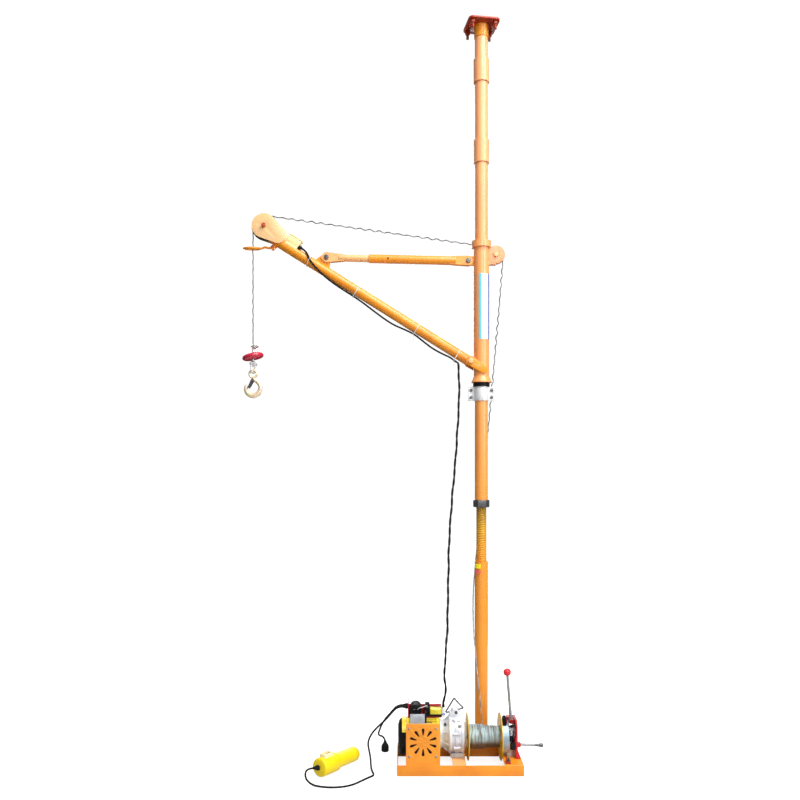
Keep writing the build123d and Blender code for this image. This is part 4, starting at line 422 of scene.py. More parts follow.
FINISHES = {
    "orange": lambda c: enamel("orange_enamel", c.orange, c.orange_shade),
    # painted light: the column's orange enamel, painted paler upwards as a painted highlight
    "painted_light_orange": lambda c: enamel("faded_enamel", c.orange, c.orange_shade, 0.76, COLUMN_GLOSS, (0.92, 0.44, 0.235)),
    "cheek": lambda c: enamel("cheek_enamel", (0.94, 0.60, 0.30), (0.92, 0.52, 0.22), 0.80),
    "guide": lambda c: enamel("guide_enamel", (0.80, 0.35, 0.165), (0.74, 0.28, 0.11), 0.80),
    # A red-brown enamel for the head axle and the lever's pin at the boom's head
    "red_brown": lambda c: enamel("rusty_pin", (0.50, 0.09, 0.03), (0.38, 0.06, 0.02), 0.72, WORN),
    "film_yellow": lambda c: moulded("yellow_film", (0.95, 0.84, 0.02), 0.35, 900, 1.05),
    "film_red": lambda c: moulded("red_film", (0.84, 0.14, 0.11), 0.35, 900, 1.05),
    "fence": lambda c: moulded("pendant_fence", (0.93, 0.84, 0.46), 0.4, 900, 1.05),
    # A paler copy of the orange enamel
    "paler_orange": lambda c: enamel("bleached_enamel", c.pale_orange, (0.90, 0.40, 0.12), 0.78),
    # painted shade: a darker copy of the orange enamel for the ceiling flange's plate and the ceiling bolts,
    # which sit in shadow
    "shaded": lambda c: enamel("shaded_enamel", (0.36, 0.030, 0.003), (0.20, 0.018, 0.003), 0.72, WORN),
    "red": lambda c: enamel("red_enamel", c.red, shade_of(c.red, 0.7), 0.76, THIN),
    "dark_red": lambda c: enamel("dark_red_enamel", c.dark_red, shade_of(c.dark_red, 0.6)),
    "yellow": lambda c: enamel("yellow_enamel", c.yellow, shade_of(c.yellow, 0.8), 0.74),
    "pendant": lambda c: moulded("pendant_plastic", c.pendant, 0.36, 700, 1.06),
    "cream": lambda c: moulded("cream_plastic", c.cream, 0.45, 900, 1.08),
    "black": lambda c: moulded("black_plastic", c.black, 0.40, 900, 2.0, 0.12),
    "white": lambda c: moulded("white_plastic", (0.80, 0.80, 0.78), 0.4, 900, 1.05),
    "blue": lambda c: moulded("blue_plastic", (0.10, 0.22, 0.62), 0.4),
    "rubber": lambda c: moulded("cable_sheath", c.rubber, 0.55, 1200, 2.0, 0.12),
    "green_button": lambda c: moulded("green_button", (0.02, 0.34, 0.10), 0.3),
    "red_button": lambda c: moulded("red_button", (0.72, 0.03, 0.035), 0.3),
    "weight": lambda c: moulded("weight_lacquer", (0.52, 0.012, 0.04), 0.24, 500, 1.3, 0.8),
    "red_ball": lambda c: moulded("red_ball", (0.70, 0.018, 0.03), 0.22),
    "relay_yellow": lambda c: moulded("relay_cover", (0.80, 0.66, 0.06), 0.3),
    "zinc": lambda c: bright_metal("bright_zinc", c.zinc),
    "galvanised": lambda c: bright_metal("galvanised", (0.86, 0.87, 0.88), 0.42, 0.22),
    "dull": lambda c: bright_metal("dull_zinc", shade_of(c.zinc, 0.50), 0.46, 0.7),
    "blued": lambda c: bright_metal("blued_steel", (0.36, 0.48, 0.58), 0.36, 0.5),
    "pale_plate": lambda c: bright_metal("pale_plate", (0.66, 0.74, 0.84), 0.4, 0.25),
    "steel": lambda c: bright_metal("drawn_steel", shade_of(c.zinc, 0.62), 0.3, 0.9),
    "dark_steel": lambda c: bright_metal("dark_steel", shade_of(c.zinc, 0.22), 0.38, 0.8),
    "bronze": lambda c: bright_metal("bearing_bronze", (0.55, 0.34, 0.12), 0.3),
    "iron": lambda c: cast_metal("dark_iron", c.iron, 0.5, 0.5),
    "core": lambda c: cast_metal("laminations", (0.22, 0.15, 0.10), 0.5, 0.4),
    "silver": lambda c: cast_metal("silver_casting", c.silver, 0.36, 0.25, 240),
    "gold": lambda c: passivated("yellow_zinc", c.gold, 0.12),
    "hook": lambda c: passivated("hook_lacquer", c.hook, 0.3),
    "thread": lambda c: greased_thread("greased_thread", c.grease, c.orange),
    "wire": lambda c: wire_strands("wire_rope", shade_of(c.wire, 0.8), shade_of(c.wire, 0.4)),
    "dark_wire": lambda c: wire_strands("greased_rope", shade_of(c.wire, 0.34), shade_of(c.wire, 0.12)),
    # painted shade: the wound rope is painted dark brown under the winch axis, with a painted reflection of
    # the orange frame
    "wound_wire": lambda c: wire_strands(
        "wound_rope", (0.70, 0.92, 1.0), (0.30, 0.28, 0.25), (190, 9, 9), (0.27, 0.13, 0.04)
    ),
    "label": lambda c: label_film("blank_film"),
    "floor": lambda c: studio_floor("studio_floor", c.floor),
}
made_finishes = {}


def finish(name):
    """A finish by its short name, made once."""
    if name not in made_finishes:
        made_finishes[name] = FINISHES[name](colours())
    return made_finishes[name]


# Ways to model a piece
def clear():
    """Object mode with nothing selected."""
    if bpy.context.mode != "OBJECT":
        bpy.ops.object.mode_set(mode="OBJECT")
    bpy.ops.object.select_all(action="DESELECT")


def only(piece):
    """One piece selected and active."""
    clear()
    piece.select_set(True)
    bpy.context.view_layer.objects.active = piece


def edit_all(piece):
    """Edit mode on one piece, with all of it selected."""
    only(piece)
    bpy.ops.object.mode_set(mode="EDIT")
    bpy.ops.mesh.select_all(action="SELECT")


def face_outwards():
    """All faces turned outwards, and back to object mode."""
    bpy.ops.mesh.select_all(action="SELECT")
    bpy.ops.mesh.normals_make_consistent(inside=False)
    bpy.ops.object.mode_set(mode="OBJECT")


def draw_point(step):
    """The selected point drawn out by a step."""
    bpy.ops.mesh.extrude_vertices_move(TRANSFORM_OT_translate={"value": step})


def draw_face(step):
    """The selected faces or ring drawn out by a step."""
    bpy.ops.mesh.extrude_region_move(TRANSFORM_OT_translate={"value": step})


def lone_point(place):
    """A mesh of one point at a place, in edit mode."""
    clear()
    bpy.ops.mesh.primitive_plane_add(size=0.001)
    edit_all(bpy.context.object)
    bpy.ops.mesh.merge(type="CENTER")
    bpy.ops.transform.translate(value=place)


def cut_level(piece, height, keep_above):
    """A piece cut off at a height, and the cut closed."""
    edit_all(piece)
    bpy.ops.mesh.bisect(
        plane_co=(0, 0, height), plane_no=(0, 0, 1), use_fill=True,
        clear_inner=keep_above, clear_outer=not keep_above,
    )
    bpy.ops.object.mode_set(mode="OBJECT")


def bake_place(piece):
    """The piece's place goes into its mesh."""
    only(piece)
    bpy.ops.object.transform_apply(location=True, rotation=True, scale=True)
    return piece


def stand(piece, origin, axis):
    """A piece modelled along Z at the origin is turned to an axis and set at a point."""
    piece.rotation_euler = Vector(axis).to_track_quat("Z", "Y").to_euler()
    piece.location = origin
    return bake_place(piece)


def turned(profile, origin=(0, 0, 0), axis=(0, 0, 1), sides=40, bored=False):
    """A turned piece: a ring drawn out and resized from one (along, radius) point to the next."""
    clear()
    (along, radius), *rest = profile
    fill = "NOTHING" if bored else "NGON"
    bpy.ops.mesh.primitive_circle_add(vertices=sides, radius=radius, fill_type=fill)
    edit_all(bpy.context.object)
    bpy.ops.transform.translate(value=(0, 0, along))
    for next_along, next_radius in rest:
        draw_face((0, 0, next_along - along))
        share = next_radius / radius
        bpy.ops.transform.resize(value=(share, share, 1), center_override=(0, 0, 0))
        along, radius = next_along, next_radius
    if bored:
        bpy.ops.mesh.select_all(action="DESELECT")
        bpy.ops.mesh.select_non_manifold()
        bpy.ops.mesh.bridge_edge_loops()
    face_outwards()
    return stand(bpy.context.object, origin, axis)


def on_winch(profile, sides, bored=False, x=0.0):
    """A piece turned on the axis of the winch, from a place along it."""
    return turned(profile, (x, WINCH.y, WINCH.z), X, sides, bored)


def mirrored(half):
    """A profile with its first half made from its second."""
    return [(-along, radius) for along, radius in reversed(half)] + half


def block(lo, hi, edge=0.001, segments=2):
    """A box between two corners with rounded edges."""
    clear()
    lo, hi = Vector(lo), Vector(hi)
    bpy.ops.mesh.primitive_cube_add(size=1, location=(lo + hi) / 2, scale=hi - lo)
    piece = bake_place(bpy.context.object)
    edit_all(piece)
    bpy.ops.mesh.bevel(offset=edge, segments=segments, affect="EDGES")
    bpy.ops.object.mode_set(mode="OBJECT")
    return piece


def plate(outline, thick, edge):
    """A plate on XY: an outline drawn point by point, filled and drawn out to its thickness."""
    here, *rest = [Vector((*point, 0)) for point in outline]
    lone_point(here)
    for point in rest:
        draw_point(point - here)
        here = point
    bpy.ops.mesh.select_all(action="SELECT")
    bpy.ops.mesh.edge_face_add()
    draw_face((0, 0, thick))
    face_outwards()
    return modify(bpy.context.object, "BEVEL", width=edge, segments=2, limit_method="ANGLE")


def modify(piece, kind, **settings):
    """A modifier set and applied."""
    only(piece)
    modifier = piece.modifiers.new(kind.lower(), kind)
    for key, value in settings.items():
        setattr(modifier, key, value)
    bpy.ops.object.modifier_apply(modifier=modifier.name)
    return piece


def copied(piece):
    """A copy with its own mesh."""
    only(piece)
    bpy.ops.object.duplicate(linked=False)
    return bpy.context.object


def moved(piece, matrix):
    """A piece set by a matrix, which goes into its mesh."""
    piece.matrix_world = matrix @ piece.matrix_world
    return bake_place(piece)


def joined(pieces):
    """Several meshes as one object."""
    clear()
    for piece in pieces:
        piece.select_set(True)
    bpy.context.view_layer.objects.active = pieces[0]
    if len(pieces) > 1:
        bpy.ops.object.join()
    return bpy.context.object


def settle(piece, name, body, look, node=None, smooth=32):
    """A finished piece: named, smoothed, given its finish, and set to ride on its body."""
    bake_place(piece)
    piece.name = name
    piece.data.name = name
    if piece.type == "MESH":
        bpy.ops.object.shade_smooth_by_angle(angle=math.radians(smooth))
    piece.data.materials.clear()
    piece.data.materials.append(finish(look))
    if body:
        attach(piece, body)
    if node:
        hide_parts(node)
    return piece


def hex_bolt(origin, axis, d, stud=0.0):
    """A hexagon head on a washer and, if asked, a stud end beyond it."""
    pieces = [
        turned([(0, 1.08 * d), (0.12 * d, 1.08 * d), (0.15 * d, 1.04 * d)], origin, axis, 24),
        turned([(0.14 * d, 0.94 * d), (0.62 * d, 0.94 * d), (0.74 * d, 0.80 * d)], origin, axis, 6),
    ]
    if stud:
        profile = [(0.7 * d, 0.5 * d), (0.7 * d + stud, 0.5 * d), (0.78 * d + stud, 0.42 * d)]
        pieces.append(turned(profile, origin, axis, 20))
    return joined(pieces)


def select_faces(piece, test):
    """Edit mode with only the faces selected whose middle and normal pass a test."""
    only(piece)
    bpy.ops.object.mode_set(mode="EDIT")
    bpy.ops.mesh.select_mode(type="FACE")
    bpy.ops.mesh.select_all(action="DESELECT")
    mesh = bmesh.from_edit_mesh(piece.data)
    for face in mesh.faces:
        face.select_set(test(face.calc_center_median(), face.normal))
    bmesh.update_edit_mesh(piece.data)


def leave_edit():
    """Back to object mode, with vertices as what edit mode selects."""
    bpy.ops.mesh.select_mode(type="VERT")
    bpy.ops.object.mode_set(mode="OBJECT")


def body_of(node):
    """The body that a node rides on."""
    return frame["nodes"][node].parent.name.removeprefix("body:")


def reworked(node, edge):
    """A copy of a node with its flat faces made whole and its edges rounded."""
    clear()
    piece = bpy.data.objects.new(node + "_dressed", frame["nodes"][node].data.copy())
    bpy.context.collection.objects.link(piece)
    edit_all(piece)
    bpy.ops.mesh.remove_doubles(threshold=0.00001)
    bpy.ops.mesh.dissolve_limited(angle_limit=math.radians(1))
    bpy.ops.object.mode_set(mode="OBJECT")
    sharp = math.radians(40)
    return modify(piece, "BEVEL", width=edge, segments=2, limit_method="ANGLE", angle_limit=sharp)


def parted(piece, test):
    """The faces of a piece that pass a test, as a piece of their own."""
    select_faces(piece, test)
    bpy.ops.mesh.separate(type="SELECTED")
    leave_edit()
    return next(other for other in bpy.context.selected_objects if other != piece)


def copies_round(piece, count, origin, axis, start=0.0):
    """Copies of a piece turned round an axis, joined as one."""
    made = []
    origin = Vector(origin)
    for k in range(count):
        turn = Matrix.Rotation(start + math.tau * k / count, 4, Vector(axis))
        made.append(moved(copied(piece), Matrix.Translation(origin) @ turn @ Matrix.Translation(-origin)))
    bpy.data.objects.remove(piece)
    return joined(made)


# Routes of the rope and the cables, in millimetres
def mm(*points):
    """Points given in millimetres."""
    return [Vector(point) / 1000 for point in points]


def on_boom(along, rise, y):
    """A point by its place along the boom, above its middle and to its side, in millimetres."""
    way = Vector((-math.cos(BOOM_ANGLE), 0, math.sin(BOOM_ANGLE)))
    over = Vector((way.z, 0, -way.x))
    return BOOM_PIVOT + (way * along + over * rise + Y * y) / 1000


ROPE_SPAN = mm(
    (102, 52, 2206), (102, 52, 2223), (86, 51.3, 2241.2), (44, 49.3, 2246.5), (-895, 5.1, 2365.2),
    (-922, 3.9, 2368.6), (-968.8, 0.6, 2374.5), (-1004.07, 0, 2343.5), (-1004.07, 0, 2314.98),
)
ROPE_HANG = mm((-1004.07, 0, 2314.98), (-1004.07, 0, 2060), (-1004.07, 0, 1806))
ROPE_DROP = mm(
    (102, 52, 2206), (102, 52, 2156), (6, 46, 1100), (-22, 39, 850), (-40, 6, 640), (-26, -46, 400),
    (-1.5, -62.4, 175), (-2.4, -62.4, 125),
)
PENDANT_CABLE = mm(
    (-348, -100, 242), (-369, -100, 242), (-396, -102, 214), (-425, -108, 183), (-456, -113, 158),
    (-481, -117, 130), (-495, -119, 97), (-489, -122, 64), (-482, -131, 34), (-480, -154, 9), (-474, -190, 4),
    (-463, -233, 4), (-481, -252, 4), (-511, -287, 4), (-540, -323, 4), (-577, -346, 4), (-622, -354, 4),
    (-668, -348, 4), (-709, -336, 7), (-738, -312, 24), (-738.4, -275.3, 46.6), (-711.8, -266.9, 45.3),
)
POWER_LEAD = mm(
    (-348, -76, 242), (-369, -76, 242), (-396.5, -71, 208), (-421, -58, 178), (-437, -38, 146),
    (-446, -15, 117), (-454, 9, 87), (-447, 33, 72), (-430, 41, 64), (-424, 42, 46),
)
BOOM_CABLE = [
    on_boom(*place)
    for place in (
        (879, 28, -14), (862, 26, -15), (846, 14, -25), (824, 0, -31), (785, -13, -26), (745, -22, -18),
        (690, -27, -10), (635, -28, -6), (586, -27.5, -5), (535, -30, -5), (480, -35, -4), (425, -40, -4),
        (370, -41, -4), (320, -33, -5), (274, -27.5, -5), (225, -33, -5), (170, -39, -5), (115, -35, -6),
        (80, -30, -8), (58, -34, -9),
    )
]
CABLE_DROP = mm(
    (-117.2, -9, 1729.9), (-104.5, -9.5, 1724), (-101.5, -10, 1717), (-100, -12, 1690), (-98.5, -18, 1600),
    (-102, -24, 1505), (-108, -30, 1408), (-115.5, -37, 1310), (-124, -45, 1212), (-133.5, -54, 1115),
    (-141.5, -64, 1018), (-147, -73.5, 922), (-150, -82, 826), (-152, -91.5, 730), (-154, -100, 634),
    (-158, -108, 540), (-165, -109, 448), (-169, -106, 372), (-162, -103.5, 320), (-166, -103.5, 289),
    (-173, -103.5, 261),
)


def spline_of(name, points, closed=False, resolution=12):
    """A curve object with one smooth spline through its control points."""
    clear()
    curve = bpy.data.curves.new(name, "CURVE")
    curve.dimensions = "3D"
    spline = curve.splines.new("NURBS")
    spline.points.add(len(points) - 1)
    for point, place in zip(spline.points, points):
        point.co = (*place, 1)
    spline.use_cyclic_u = closed
    spline.order_u = 3
    spline.use_endpoint_u = not closed
    spline.resolution_u = resolution
    piece = bpy.data.objects.new(name, curve)
    bpy.context.collection.objects.link(piece)
    return piece


def wire(points, r, shares=None, closed=False):
    """A round bar along a smooth line, thicker or thinner at its points if shares are given."""
    piece = spline_of("wire", points, closed)
    for point, share in zip(piece.data.splines[0].points, shares or []):
        point.radius = share
    piece.data.bevel_depth = r
    piece.data.bevel_resolution = 4
    piece.data.use_fill_caps = True
    only(piece)
    bpy.ops.object.convert(target="MESH")
    return bpy.context.object


def read_line(points, step):
    """Even points along a route's spline."""
    route = spline_of("route", points, resolution=40)
    mesh = bpy.data.meshes.new_from_object(route)
    dense = [vertex.co.copy() for vertex in mesh.vertices]
    bpy.data.objects.remove(route)
    bpy.data.meshes.remove(mesh)
    runs = [0.0]
    for here, after in zip(dense, dense[1:]):
        runs.append(runs[-1] + (after - here).length)
    count = max(2, round(runs[-1] / step))
    line = []
    k = 0
    for n in range(count + 1):
        goal = runs[-1] * n / count
        while k < len(runs) - 2 and runs[k + 1] < goal:
            k += 1
        share = (goal - runs[k]) / max(1e-9, runs[k + 1] - runs[k])
        line.append(dense[k].lerp(dense[k + 1], min(1.0, share)))
    return line


def long_of(line):
    """The length of a line of points."""
    return sum((after - here).length for here, after in zip(line, line[1:]))


def way_at(line, k):
    """The direction of a line of points at one of them."""
    return (line[min(k + 1, len(line) - 1)] - line[max(k - 1, 0)]).normalized()


def waved(line, size, period=0.043, calm=0.0):
    """A line that strays from its course in a slow helix, less towards its ends and below a calm height."""
    fade = 0.10
    total = long_of(line)
    out = []
    run = 0.0
    for k, here in enumerate(line):
        if k:
            run += (here - line[k - 1]).length
        way = way_at(line, k)
        side = way.cross(Y).normalized()
        share = min(1.0, run / fade, (total - run) / fade) * (0.7 + 0.3 * math.sin(run * 23))
        share *= min(1.0, max(0.12, (here.z - calm) / 0.3))
        turn = math.tau * run / period
        out.append(here + size * share * (math.cos(turn) * side + math.sin(turn) * way.cross(side)))
    return out


def rings_along(line, r, strands, lay, sides=24, depth=0.22):
    """Rings of points round a line, lobed by the strands and turned with their lay."""
    rings = []
    normal = None
    run = 0.0
    for k, here in enumerate(line):
        way = way_at(line, k)
        normal = way.orthogonal() if normal is None else normal
        normal = (normal - way * normal.dot(way)).normalized()
        side = way.cross(normal)
        if k:
            run += (here - line[k - 1]).length
        ring = []
        for j in range(sides):
            turn = math.tau * j / sides + math.tau * run / lay
            reach = r * (1 - depth * abs(2 * ((j * strands / sides) % 1) - 1) ** 2)
            ring.append(here + reach * (math.cos(turn) * normal + math.sin(turn) * side))
        rings.append(ring)
    return rings


def skin(name, rings, strands):
    """A closed tube through rings of points, with a map that counts strands round it and rings along it."""
    sides = len(rings[0])
    points = [point for ring in rings for point in ring]
    faces = [list(range(sides))[::-1], [len(points) - sides + j for j in range(sides)]]
    for k in range(len(rings) - 1):
        for j in range(sides):
            n = (j + 1) % sides
            faces.append([k * sides + j, k * sides + n, (k + 1) * sides + n, (k + 1) * sides + j])
    mesh = bpy.data.meshes.new(name)
    mesh.from_pydata(points, [], faces)
    chart = mesh.uv_layers.new(name="strands")
    for n, face in enumerate(mesh.polygons):
        for corner, loop in enumerate(face.loop_indices):
            k, j = divmod(max(0, n - 2), sides)
            across = j + (corner in (1, 2))
            chart.data[loop].uv = (across * strands / sides, (k + (corner > 1)) / sides)
    piece = bpy.data.objects.new(name, mesh)
    bpy.context.collection.objects.link(piece)
    edit_all(piece)
    face_outwards()
    return piece


def blended_cord(name, node, rings, stretches, strands):
    """A cord in stretches: one tube for each (last ring, body, next body, start, end, finish), each tube set
    on no body.
    """
    first = 0
    for n, (last, before, after, start, end, look) in enumerate(stretches):
        piece = skin(f"{name}_{n + 1}", rings[first:last + 1], strands)
        settle(piece, f"{name}_{n + 1}", None, look, node, smooth=60)
        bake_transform(piece)
        first = last


def below(line, height):
    """The first place in a falling line that is under a height."""
    return next(k for k, point in enumerate(line) if point.z < height)


# The pieces
NODE_LOOKS = {
    "orange": "boom_tube stay_outer",
    # painted light: the column's tubes get the orange enamel that is painted paler upwards
    "painted_light_orange": "lower_post mast_tube column_extensions swing_sleeve",
    "paler_orange": "stay_inner",
    "galvanised": "rope_shackle",
    "steel": "drum_shaft counter_gear",
    "dark_steel": "hook_latch",
    "iron": "guide_sheave head_sheave",
    "bronze": "sleeve_bushes",
    "core": "motor_rotor stator",
    "blued": "brake_band",
    "black": "thrust_ring",
}
ROUNDED_NODES = {
    "base_front_rail": ("orange", 0.0018),
    "base_rear_rail": ("orange", 0.0018),
    "motor_guard": ("orange", 0.0008),
    "head_cheeks": ("cheek", 0.0010),
    "end_bracket": ("red", 0.0010),
    "control_tray": ("dark_red", 0.0006),
    "column_clamp": ("galvanised", 0.0012),
    "height_nut": ("dark_steel", 0.0022),
}
TWO_TONE_NODES = {
    # painted shade: the ceiling flange's plate and the ceiling bolts get the darker shaded enamel
    "ceiling_flange": (0.0010, "orange", "shaded", lambda place, _: place.z > 3.2028),
    "column_bolts": (0.0005, "dark_steel", "shaded", lambda place, _: place.z > 3.0),
    "swing_bolts": (0.0005, "dark_steel", "paler_orange", lambda place, _: place.x > 0 or place.z < 1.9),
    "boom_bolts": (0.0005, "dark_steel", "red_brown", lambda place, _: place.x < -0.80),
    "sleeve_lugs": (0.0010, "orange", "guide", lambda place, _: place.z > 2.1 and place.y > 0.015),
    "base_cross_rails": (0.0012, "orange", "paler_orange", lambda place, _: -0.15 < place.x < -0.08),
}


HEAD_AXLE_SHARE = 0.72


def slimmed(pins, centre, share):
    """The crosswise pin at a point made thinner round its own axis."""
    select_faces(pins, lambda place, _: math.hypot(place.x - centre.x, place.z - centre.z) < 0.03)
    bpy.ops.transform.resize(value=(share, 1, share), center_override=centre)
    leave_edit()


class CRANE_OT_paintwork(bpy.types.Operator):
    """Give the steelwork its enamel, zinc and iron, and round the edges of its plates"""

    bl_idname = "crane.paintwork"
    bl_label = "Paintwork"

    def execute(self, context):
        for look, nodes in NODE_LOOKS.items():
            for node in nodes.split():
                materials = frame["nodes"][node].data.materials
                materials.clear()
                materials.append(finish(look))
        for node, (look, edge) in ROUNDED_NODES.items():
            settle(reworked(node, edge), node + "_dressed", body_of(node), look, node)
        for node, (edge, look, other_look, test) in TWO_TONE_NODES.items():
            piece = reworked(node, edge)
            other = parted(piece, test)
            if node == "boom_bolts":
                slimmed(other, HEAD_AXLE, HEAD_AXLE_SHARE)
            settle(piece, node + "_dressed", body_of(node), look, node)
            settle(other, node + "_second_tone", body_of(node), other_look, node)
        return {"FINISHED"}


# Films: how thick, how far off the paint, and between which angles from the front
FILM_THICK = 0.0004
FILM_GAP = 0.0002
LABEL_ANGLES = (-25, 84)
POST_FILM_ANGLES = (-58, -10)


def wrapped_film(name, r, foot, top, start, end, look, body):
    """A thin film on a round post, between two heights and two angles from the front."""
    clear()
    bpy.ops.mesh.primitive_cylinder_add(vertices=180, radius=r, depth=top - foot, end_fill_type="NOTHING")
    piece = bpy.context.object
    piece.location = (0, 0, (foot + top) / 2)
    bake_place(piece)

    def outside(place, _):
        """Whether a face lies beyond the film's two upright edges."""
        return not start < math.degrees(math.atan2(place.x, -place.y)) < end

    select_faces(piece, outside)
    bpy.ops.mesh.delete(type="FACE")
    leave_edit()
    modify(piece, "SOLIDIFY", thickness=FILM_THICK, offset=1)
    return settle(piece, name, body, look, smooth=30)


class CRANE_OT_column(bpy.types.Operator):
    """Cut the thread of the screw post and lay the blank films on the column"""

    bl_idname = "crane.column"
    bl_label = "Column"

    def execute(self, context):
        size = sizes()
        pitch, depth = size.thread_pitch, size.thread_depth
        r = high("screw_post").x
        foot, top = low("screw_post").z, high("screw_post").z
        start = high("lower_post").z - 0.012
        flank, flat = pitch * 0.22, pitch * 0.28
        lone_point((r, 0, start - pitch))
        for out, up in ((-depth, flank), (0, flat), (depth, flank), (0, flat)):
            draw_point((out, 0, up))
        bpy.ops.object.mode_set(mode="OBJECT")
        turns = math.ceil((top - start) / pitch) + 2
        thread = modify(
            bpy.context.object, "SCREW", screw_offset=pitch, iterations=turns, steps=40, render_steps=40,
            use_merge_vertices=True, merge_threshold=0.00002,
        )
        cut_level(thread, start, keep_above=True)
        cut_level(thread, top, keep_above=False)
        edit_all(thread)
        face_outwards()
        stem = turned([(foot, r), (start + 0.001, r)])
        settle(joined([thread, stem]), "screw_thread", "base", "thread", "screw_post")
        tube_r, collar_r = 34, 45
        sleeve_r = high("swing_sleeve").x * tube_r / collar_r
        label_top = size.label_low + size.label_h
        wrapped_film(
            "sleeve_label", sleeve_r + FILM_GAP, size.label_low, label_top, *LABEL_ANGLES, "label", "swing",
        )
        post_r = high("lower_post").y
        for name, foot, top, look in (
            ("upper", 0.8225, 0.8425, "film_yellow"), ("lower", 0.801, 0.816, "film_red"),
        ):
            wrapped_film(
                f"post_film_{name}", post_r + FILM_GAP, foot, top, *POST_FILM_ANGLES, look, "base",
            )
        return {"FINISHED"}


class CRANE_OT_ropes(bpy.types.Operator):
    """Lay the hoist rope's strands from the drum over the sheaves to the hook"""

    bl_idname = "crane.ropes"
    bl_label = "Ropes"

    def execute(self, context):
        size = sizes()
        r = size.rope_d / 2
        step = size.rope_lay / 12
        head_x = -0.93
        clamp_z = 1.45
        still_z = 1.15

        def strands_round(line):
            """The rope's lobed rings along a line."""
            return rings_along(line, r, size.strands, size.rope_lay)

        def lay(name, node, points, wave, stretches, way, calm=0.0):
            """One run of the rope, in stretches between two bodies each."""
            line = waved(read_line(points, step), wave, calm=calm)
            blended_cord(
                name, node, strands_round(line), stretches(line), size.strands,
            )

        def over_jib(line):
            """From the sleeve to the head of the boom, and round the head sheave."""
            wrap = next(k for k, point in enumerate(line) if point.x < head_x)
            return [
                (wrap, "swing", "boom", line[10], line[wrap - 20], "dark_wire"),
                (len(line) - 1, "boom", "rope_fall", line[wrap + 2], ROPE_SPAN[-1], "dark_wire"),
            ]

        def to_hook(line):
            """From the head sheave down to the hook."""
            return [(len(line) - 1, "rope_fall", "hook_block", line[0], line[-1], "dark_wire")]

        def to_drum(line):
            """From the guide sheave down past the clamp, and on to the drum."""
            clamp = below(line, clamp_z)
            return [
                (clamp, "swing", "mast", (0.102, 0.052, 2.1), (0.102, 0.052, 1.5), "dark_wire"),
                (len(line) - 1, "mast", "base", (0, 0, 1.4), (0, 0, 0.9), "wire"),
            ]

        lay("rope_over_jib", "rope_span", ROPE_SPAN, size.rope_wave, over_jib, "taut")
        lay("rope_to_hook", "rope_hang", ROPE_HANG, size.rope_wave * 0.4, to_hook, "taut")
        lay("rope_to_drum", "rope_drop", ROPE_DROP, size.rope_wave, to_drum, "hanging", still_z)
        turns = skin("rope_on_drum", strands_round(read_line(turns_on_drum(), step)), size.strands)
        settle(turns, "rope_on_drum", "drum_unit", "wound_wire", "rope_winding", smooth=60)
        return {"FINISHED"}


def turns_on_drum(points=16):
    """Control points of the rope's turns: the upper layer, the turn that steps down, and the lower layer."""
    first, step_at, last = -0.65, 11, 23.5
    made = []
    for n in range(round(first * points), round(last * points) + 1):
        turn = n / points
        step = min(1.0, max(0.0, turn - step_at))
        lower = max(0.0, turn - step_at - 1)
        x = -0.063 + 0.0055 * min(turn, step_at) + 0.0053 * step + 0.0054 * lower
        reach = (0.0476 - 0.005 * step) / (0.75 + 0.25 * math.cos(math.tau / points))
        angle = math.tau * turn
        made.append(Vector((x, WINCH.y + reach * math.cos(angle), WINCH.z + reach * math.sin(angle))))
    return made


def cable_tie(along, rise, y):
    """A tie drawn round the boom and the cable beside it, with its cut end."""
    tube_r, cable_r = 24.4, 4.9
    loop = []
    for n in range(24):
        turn = math.tau * n / 24
        reach = max(tube_r, rise * math.cos(turn) + y * math.sin(turn) + cable_r)
        loop.append(on_boom(along, reach * math.cos(turn), reach * math.sin(turn)))
    out = Vector((rise, y)).normalized()
    knot = out * (Vector((rise, y)).length + 4)
    tail = [on_boom(along - back, *(knot + out * far)) for back, far in ((0, 0), (6, 10), (14, 26))]
    return joined([wire(loop, 0.0016, closed=True), wire(tail, 0.0014)])


def cable_gland(origin, way, length, d):
    """A cable gland: collar, hexagon nut, dome and tapered sleeve."""
    collar = turned([(0, 0.46 * d), (0.16 * length, 0.46 * d), (0.18 * length, 0.44 * d)], origin, way, 32)
    nut = turned(
        [
            (0.18 * length, 0.50 * d), (0.2 * length, 0.54 * d), (0.42 * length, 0.54 * d),
            (0.46 * length, 0.48 * d),
        ],
        origin, way, 6,
    )
    sleeve = turned(
        [(0.46 * length, 0.42 * d), (0.58 * length, 0.40 * d), (0.66 * length, 0.32 * d), (length, 0.24 * d)],
        origin, way, 32,
    )
    return joined([collar, nut, sleeve])


